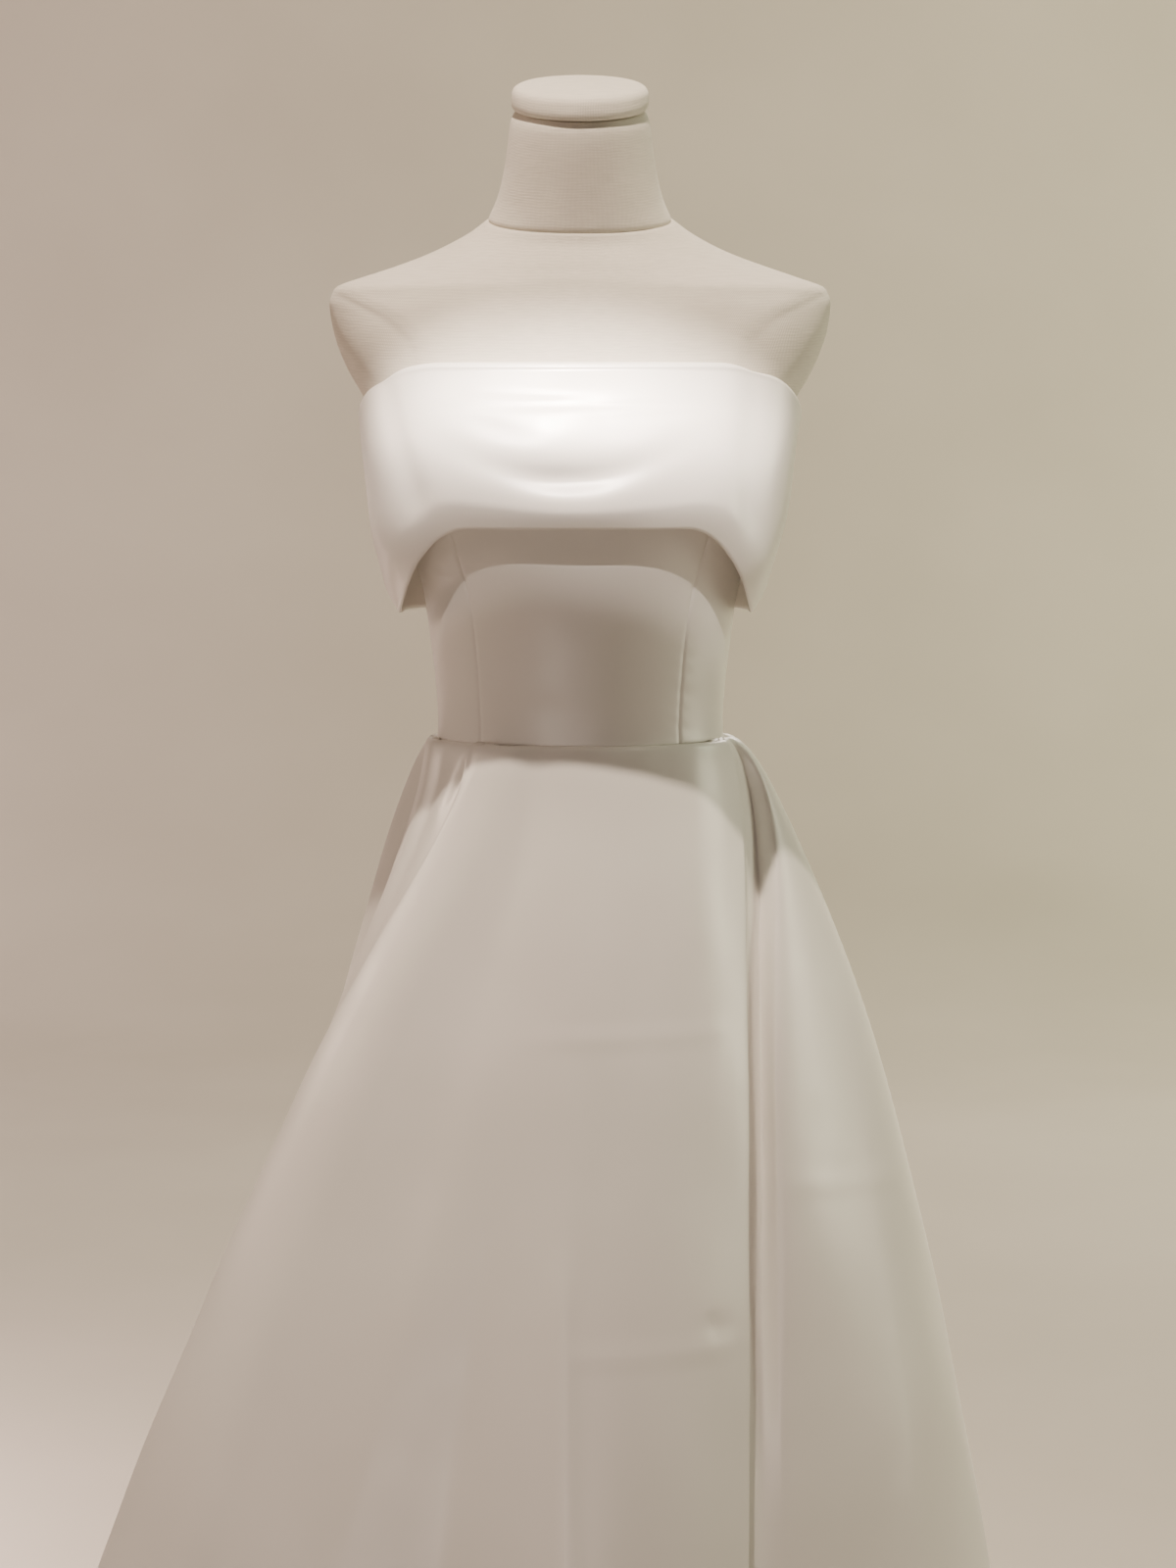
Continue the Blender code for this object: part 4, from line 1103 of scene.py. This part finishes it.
def linen_material(name, low, high, thread=0.0011):
    """Plain-woven linen drawn over the form: threads both ways, with slubs."""
    material, tree, shader, place = shader_of(
        name, Sheen_Weight=0.18, Sheen_Roughness=0.6, Specular_IOR_Level=0.2
    )
    grain = node(tree, "ShaderNodeUVMap", uv_map="grain").outputs["UV"]
    drift = {0: noise(tree, grain, 45.0, output="Color"), 1: (0.0016, 0.0016, 0.0)}
    shifted = node(tree, "ShaderNodeVectorMath", drift, operation="MULTIPLY").outputs[0]
    threads = node(tree, "ShaderNodeVectorMath", {0: grain, 1: shifted}, operation="ADD").outputs[0]
    settings = {"Vector": threads, "Scale": 2 * math.pi / (20 * thread)}
    weft = node(tree, "ShaderNodeTexWave", settings, bands_direction="X").outputs["Fac"]
    warp = node(tree, "ShaderNodeTexWave", settings, bands_direction="Y").outputs["Fac"]
    weave = node(tree, "ShaderNodeMath", {0: weft, 1: warp}, operation="MULTIPLY").outputs[0]
    slubs = noise(tree, scaled(tree, grain, (60.0, 700.0, 1.0)), 1.0)
    both = node(tree, "ShaderNodeMath", {0: weave, 1: slubs}, operation="ADD").outputs[0]
    tone = fitted(tree, both, 0.3, 1.3, 0.84, 1.10)
    base = {0: varied(tree, place, 9.0, low, high), "Scale": tone}
    colour = node(tree, "ShaderNodeVectorMath", base, operation="SCALE").outputs[0]
    normal = bumped(tree, weave, 0.0003, 0.5, bumped(tree, slubs, 0.0003, 0.4))
    feed(tree, shader, Base_Color=colour, Roughness=ranged(tree, place, 50.0, 0.78, 0.92), Normal=normal)
    return material


def metal_material(name, low, high, metallic, rough, stretch, bump):
    """Metal with fine marks drawn out along one direction."""
    material, tree, shader, place = shader_of(name, metallic)
    marks = noise(tree, scaled(tree, place, stretch), 1.0, 3.0)
    roughness = fitted(tree, marks, 0.0, 1.0, rough - 0.08, rough + 0.08)
    colour = varied(tree, place, 35.0, low, high)
    feed(tree, shader, Base_Color=colour, Roughness=roughness, Normal=bumped(tree, marks, bump, 0.4))
    return material


def plain_material(name, low, high, scale, roughness, bump):
    """A painted or papered surface with a faint unevenness."""
    material, tree, shader, place = shader_of(name, Specular_IOR_Level=0.25)
    colour = varied(tree, place, scale, low, high)
    dull = ranged(tree, place, 12.0, roughness - 0.05, roughness + 0.05)
    normal = bumped(tree, noise(tree, place, 220.0, 3.0), bump, 0.25)
    feed(tree, shader, Base_Color=colour, Roughness=dull, Normal=normal)
    return material


def ring_grain(obj, around):
    """Cloth coordinates in metres for a form built through rings: round it, and up it."""
    mesh = obj.data
    layer = mesh.uv_layers.new(name="grain")
    corners = np.empty(len(mesh.loops), np.int32)
    mesh.loops.foreach_get("vertex_index", corners)
    starts = np.empty(len(mesh.polygons), np.int32)
    mesh.polygons.foreach_get("loop_start", starts)
    places = np.empty(len(mesh.vertices) * 3, np.float32)
    mesh.vertices.foreach_get("co", places)
    places = places.reshape(-1, 3)[corners]
    share = np.arctan2(places[:, 0], -places[:, 1]) / (2 * math.pi)
    face = np.repeat(np.arange(len(starts)), np.diff(np.append(starts, len(corners))))
    high = np.maximum.reduceat(share, starts)[face]
    low = np.minimum.reduceat(share, starts)[face]
    share = np.where((high - low > 0.5) & (share < 0), share + 1, share)
    layer.uv.foreach_set("vector", np.stack([share * around, places[:, 2]], 1).astype(np.float32).ravel())


# Points round the form, where its rows come closer together, and its rows below there and above
FORM_AROUND = 240
FORM_CLOSER = 0.10
FORM_ROWS_LOW = 60
FORM_ROWS_HIGH = 150

# About how far it is round each piece of the form, in metres
GIRTHS = {"torso": 0.86, "neck": 0.36, "cap": 0.32}


def make_form(linen):
    """The torso, the neck and the cap, covered with linen."""
    angles = spread(-180.0, 180.0, FORM_AROUND)[:-1]
    heights = spread(TORSO_BOTTOM, FORM_CLOSER, FORM_ROWS_LOW)[:-1]
    heights += spread(FORM_CLOSER, FORM_ROWS[-1][0], FORM_ROWS_HIGH)
    heights.reverse()
    torso = np.array([[tuple(form_point(angle, height)) for angle in angles] for height in heights])
    padded = np.concatenate([torso[:, -2:], torso, torso[:, :2]], axis=1)
    surfaces = {
        "torso": torso_surface(padded)[:, 2:-2],
        "neck": neck_surface(np.array(form_rings(between_rows(NECK_ROWS, 10), angles))),
        "cap": form_rings(between_rows(CAP_ROWS, 5), angles),
    }
    for name, rings in surfaces.items():
        piece = turned(f"linen_{name}", rings, linen)
        ring_grain(piece, GIRTHS[name])
        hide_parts(f"form_{name}")


def neck_surface(rings):
    """The neck's linen, turned in at its lower seam and under the cap."""
    centre = rings.mean(1, keepdims=True)
    out = unit((rings - centre) * np.array([1.0, 1.0, 0.0]))
    height = len(rings)
    share = np.arange(height)[:, None] / (height - 1)
    inward = groove("neck", share) + groove("cap", 1 - share) + uneven(rings, "neck")
    return rings - out * inward[..., None]


def back_y(height, grow):
    """Where the centre back is, at a height over the waist, on a surface grow off the form."""
    if height >= 0:
        return form_point(180.0, height, grow).y
    section = Section(-height / SKIRT_LENGTH)
    return section.frame_at(section.length_at(0))[0].y + grow - BODICE_MID


# The zip's tape: its top over the waist, rows down, columns across in millimetres, its distance off
# the form, and the height and half width in millimetres of the ridge along its middle
ZIP_TOP = neckline(180.0) - 1.5 * MM
TAPE_ROWS = 90
TAPE_COLUMNS = (1.6, 0.8, 0.0, -0.8, -1.6)
TAPE_OUT = 0.35 * MM
TAPE_RIDGE = 0.55 * MM
TAPE_RIDGE_WIDTH = 1.2
TAPE_CLOTH = 0.4 * MM

# The zip's teeth: size, distance below the top, from one to the next, aside and outwards, and rounding
TOOTH_SIZE = (1.7 * MM, 1.0 * MM, 1.05 * MM)
TOOTH_START = 1.0 * MM
TOOTH_STEP = 1.5 * MM
TOOTH_ASIDE = 0.55 * MM
TOOTH_OUT = 0.9 * MM
TOOTH_ROUND = 0.25 * MM

# The stitches beside the zip, in pairs: size, space above the first, from pair to pair and within one,
# aside, and out of the cloth
STITCH_SIZE = (0.22 * MM, 0.20 * MM, 0.75 * MM)
STITCH_START = 5.0 * MM
STITCH_STEP = 3.2 * MM
STITCH_PART = 1.1 * MM
STITCH_ASIDE = 6.2 * MM
STITCH_OUT = 0.05 * MM


def make_zip(tape, enamel, thread):
    """The tape behind the opening, the two rows of teeth and the stitching beside them."""
    heights = spread(ZIP_TOP, -ZIP_BELOW_WAIST, TAPE_ROWS)
    places = [back_y(height, 0.0) for height in heights]
    profile = [(x * MM, TAPE_OUT + TAPE_RIDGE * gauss(x, TAPE_RIDGE_WIDTH)) for x in TAPE_COLUMNS]
    middle = [[(x, y + out, WAIST_Z + height) for x, out in profile] for height, y in zip(heights, places)]
    strip = shell("zip_tape", np.array(middle), TAPE_CLOTH, tape)
    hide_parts("zip")
    teeth = bmesh.new()
    for i in range(int((ZIP_TOP + ZIP_BELOW_WAIST) / TOOTH_STEP)):
        height = ZIP_TOP - TOOTH_START - i * TOOTH_STEP
        y = float(np.interp(-height, [-h for h in heights], places))
        aside = TOOTH_ASIDE if i % 2 else -TOOTH_ASIDE
        made = bmesh.ops.create_cube(teeth, size=1.0)["verts"]
        bmesh.ops.scale(teeth, vec=TOOTH_SIZE, verts=made)
        bmesh.ops.translate(teeth, vec=(aside, y + EASE + TOOTH_OUT, WAIST_Z + height), verts=made)
    bevel = bmesh_piece("zip_teeth", teeth, enamel).modifiers.new("rounded", "BEVEL")
    bevel.width = TOOTH_ROUND
    bevel.segments = 2
    stitches = bmesh.new()
    count = int((ZIP_TOP - STITCH_START - MM + ZIP_BELOW_WAIST) / STITCH_STEP)
    for side, i, part in itertools.product((-1, 1), range(count), range(2)):
        height = ZIP_TOP - STITCH_START - i * STITCH_STEP - part * STITCH_PART
        place = stitch_place(side * STITCH_ASIDE, height)
        made = bmesh.ops.create_uvsphere(stitches, u_segments=6, v_segments=4, radius=1.0)["verts"]
        bmesh.ops.scale(stitches, vec=STITCH_SIZE, verts=made)
        bmesh.ops.translate(stitches, vec=place, verts=made)
    bmesh_piece("zip_stitching", stitches, thread)


def stitch_place(x, height):
    """A point on the outside of the cloth beside the centre back opening."""
    if height >= 0:
        angle = math.copysign(angle_at(abs(x), height, EASE + BODICE_CLOTH), x)
        return form_point(angle, height, EASE + BODICE_CLOTH + STITCH_OUT)
    section = Section(-height / SKIRT_LENGTH)
    length = section.length_at(0) + x if x > 0 else section.length_at(len(SKIRT_ROWS)) + x
    point, _, out = section.frame_at(length)
    flat = point + out * (SKIRT_CLOTH / 2 + STITCH_OUT)
    return Vector((flat.x, flat.y, WAIST_Z + height))


def bmesh_piece(name, shape, material):
    """A small hard piece made of repeated shapes."""
    mesh = bpy.data.meshes.new(name)
    shape.to_mesh(mesh)
    shape.free()
    mesh.materials.append(material)
    mesh.shade_smooth()
    obj = placed(name, mesh)
    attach(obj, BODY)
    return obj


# The flange round the pole's foot: radius and height over the floor
FLANGE = (
    (0.0165, 0.0124),
    (0.0400, 0.0124),
    (0.0410, 0.0145),
    (0.0360, 0.0175),
    (0.0240, 0.0210),
    (0.0205, 0.0300),
    (0.0195, 0.0460),
    (0.0165, 0.0480),
)


def make_stand(coated):
    """A flange where the pole meets the base, turned from its profile."""
    ways = [math.radians(angle) for angle in spread(-180.0, 180.0, 64)[:-1]]
    rings = [[(radius * math.sin(a), -radius * math.cos(a), z) for a in ways] for radius, z in FLANGE]
    turned("stand_flange", rings, coated)


# The wall stands behind the farthest camera that looks at the gown's back
WALL_Y = 6.6
SWEEP = 2.6
STAGE_SIDE = 9.0
STAGE_HIGH = 7.0


def make_stage():
    """A floor that sweeps up into a wall."""
    turns = np.linspace(0, math.pi / 2, 32)
    bend = [(WALL_Y - SWEEP + math.sin(a) * SWEEP, SWEEP - math.cos(a) * SWEEP) for a in turns]
    profile = [(-STAGE_SIDE, 0.0), (-2.0, 0.0), (1.0, 0.0)] + bend + [(WALL_Y, 4.5), (WALL_Y, STAGE_HIGH)]
    shape = bmesh.new()
    xs = np.linspace(-STAGE_SIDE, STAGE_SIDE, 25)
    lines = [[shape.verts.new((x, y, z)) for x in xs] for y, z in profile]
    for low, high in zip(lines, lines[1:]):
        for j in range(len(low) - 1):
            shape.faces.new((low[j], low[j + 1], high[j + 1], high[j]))
    mesh = bpy.data.meshes.new("backdrop")
    shape.to_mesh(mesh)
    shape.free()
    low, high = (0.60, 0.535, 0.475), (0.65, 0.58, 0.52)
    mesh.materials.append(plain_material("backdrop_paint", low, high, 1.3, 0.75, 0.0004))
    mesh.shade_smooth()
    placed("backdrop", mesh)


# The spotlight that brings out the cuff's front: an oval beam, wider than it is high
BEAM_PLACE = (-0.20, -2.10, 3.25)
BEAM_AIM = (0.0, -0.15, 1.345)
BEAM_SIZE = 0.05
BEAM_CONE = 2.05
BEAM_WIDE = 3.4
BEAM_BLEND = 0.32
BEAM_POWER = 2200.0
BEAM_COLOUR = (1.0, 0.86, 0.76)

ROOM_COLOUR = (1.0, 0.80, 0.66, 1.0)
ROOM_STRENGTH = 0.05

# Lamps: place, point aimed at, size, power, colour, and the cone of a spotlight in degrees
LAMPS = {
    "key": ((-0.08, -0.50, 2.75), (0.0, -0.12, 1.25), 0.02, 196.0, (1.0, 0.82, 0.66), 62.0),
    "low": ((-0.6, -3.0, 0.6), (0.0, 0.0, 0.75), 1.3, 12.5, (1.0, 0.82, 0.70), None),
    "side_left": ((-2.1, -0.35, 1.9), (0.0, 0.0, 1.1), 0.7, 16.0, (1.0, 0.73, 0.56), None),
    "backdrop_left": ((-3.4, 3.0, 0.6), (-1.5, 6.0, 1.0), 1.4, 122.0, (1.0, 0.78, 0.74), None),
    "backdrop_right": ((3.6, 2.8, 2.2), (1.0, 6.6, 1.7), 1.4, 175.0, (0.98, 1.0, 0.66), None),
    "behind": ((0.8, 3.6, 2.8), (0.0, 0.1, 0.9), 1.6, 60.0, (1.0, 0.88, 0.78), None),
    "rim_left": ((-1.45, 0.85, 0.30), (-0.75, 1.8, 0.0), 0.7, 43.0, (1.0, 0.79, 0.72), None),
    "rim_right": ((1.9, 0.0, 1.3), (0.7, 1.8, 1.1), 1.2, 23.0, (1.0, 0.93, 0.66), None),
    "rim_top": ((1.5, 0.5, 2.2), (0.8, 1.8, 1.5), 0.8, 20.0, (0.95, 1.0, 0.70), None),
}


def hang(light, name, place, aim, power, colour):
    """Puts a lamp in its place, turned to the point that it is aimed at."""
    light.energy = power
    light.color = colour
    obj = placed(name, light)
    obj.location = place
    obj.rotation_euler = (Vector(aim) - Vector(place)).to_track_quat("-Z", "Y").to_euler()
    obj.visible_camera = False
    return obj


def make_light():
    """A small lamp high in front, an oval beam on the cuff, soft fill, and lamps on the wall."""
    for name, (place, aim, size, power, colour, cone) in LAMPS.items():
        light = bpy.data.lights.new(name, "SPOT" if cone else "AREA")
        if cone:
            light.shadow_soft_size = size
            light.spot_size = math.radians(cone)
            light.spot_blend = 1.0
        else:
            light.shape = "DISK"
            light.size = size
        hang(light, name, place, aim, power, colour)
    beam = bpy.data.lights.new("cuff_beam", "SPOT")
    beam.shadow_soft_size = BEAM_SIZE
    beam.spot_size = math.radians(BEAM_CONE)
    beam.spot_blend = BEAM_BLEND
    hung = hang(beam, "cuff_beam", BEAM_PLACE, BEAM_AIM, BEAM_POWER, BEAM_COLOUR)
    hung.scale = (BEAM_WIDE, 1.0, 1.0)
    world = bpy.data.worlds.new("room")
    world.use_nodes = True
    background = world.node_tree.nodes["Background"]
    background.inputs["Color"].default_value = ROOM_COLOUR
    background.inputs["Strength"].default_value = ROOM_STRENGTH
    bpy.context.scene.world = world


# The camera of the photograph: place, degrees below level, and lens and sensor in millimetres
CAMERA_PLACE = (0.006, -2.4, 1.29)
CAMERA_DOWN = 6.3716
CAMERA_LENS = 71.49
CAMERA_SENSOR = 36.0


def make_camera():
    camera = bpy.data.cameras.new("camera")
    camera.lens = CAMERA_LENS
    camera.sensor_width = CAMERA_SENSOR
    obj = placed("camera", camera)
    obj.location = CAMERA_PLACE
    obj.rotation_euler = (math.radians(90 - CAMERA_DOWN), 0.0, 0.0)
    bpy.context.scene.camera = obj


def declare(node_name):
    """Hides the solid that a cloth piece stands for."""
    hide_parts(node_name)


# The turned-up hem: its height, how much thicker it shows, and over what height the change is
HEM_UP = 0.042
HEM_THICKER = 0.55
HEM_CHANGE = 0.003


def hem_cloth(grid):
    """The cloth's thickness, greater where the hem is turned up."""
    return SKIRT_CLOTH * (1 + HEM_THICKER * smoothstep((HEM_UP - away_from(grid, "bottom")) / HEM_CHANGE))


def make_gown(satin):
    """Every cut piece of the gown as its own thin sheet."""
    for name, (first, last) in BODICE_PANELS.items():
        grid = sewn(bodice_middle(first, last), ("left", "right"), 0.7 * MM, 1.3 * MM)
        piece = shell(name.replace("bodice", "satin_bodice"), bodice_surface(grid), BODICE_CLOTH, satin)
        declare(name)
    for name, (first, last) in CUFF_PIECES.items():
        grid = cuff_surface(sewn(cuff_middle(first, last), ("left", "right")))
        piece = shell(name.replace("cuff", "satin_cuff"), grid, CUFF_CLOTH, satin)
        declare(name)
    for name, grid in skirt_middle().items():
        grid = sewn(skirt_surface(grid), SKIRT_SEAMS.get(name, ()) + ("top",))
        piece = shell(name.replace("skirt", "satin_skirt"), grid, hem_cloth(grid), satin)
        declare(name)


# Metals: darkest and lightest colour, metallic, roughness, stretch of the marks, and their depth
METALS = {
    "ivory_enamel": ((0.74, 0.71, 0.65), (0.80, 0.77, 0.71), 0.0, 0.32, (900, 900, 900), 0.00004),
    "brushed_steel": ((0.50, 0.49, 0.47), (0.58, 0.57, 0.55), 1.0, 0.34, (60, 60, 1500), 0.00003),
    "coated_metal": ((0.52, 0.50, 0.46), (0.60, 0.58, 0.54), 0.0, 0.5, (500, 500, 500), 0.00008),
}


def main():
    satin = satin_material("ivory_satin", (0.86, 0.83, 0.78), (0.89, 0.865, 0.82))
    linen = linen_material("cream_linen", (0.66, 0.615, 0.53), (0.72, 0.675, 0.59))
    tape = linen_material("ivory_tape", (0.72, 0.68, 0.62), (0.76, 0.72, 0.66), 0.0006)
    thread = satin_material("ivory_thread", (0.80, 0.77, 0.72), (0.84, 0.81, 0.76))
    enamel, steel, coated = (metal_material(name, *looks) for name, looks in METALS.items())
    make_form(linen)
    make_gown(satin)
    make_zip(tape, enamel, thread)
    make_stand(coated)
    kept = {"form_pole": steel, "form_base": coated, "zip_slider": enamel, "zip_pull": enamel}
    for name, material in kept.items():
        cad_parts[name].data.materials.clear()
        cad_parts[name].data.materials.append(material)
    make_stage()
    make_light()
    make_camera()


main()
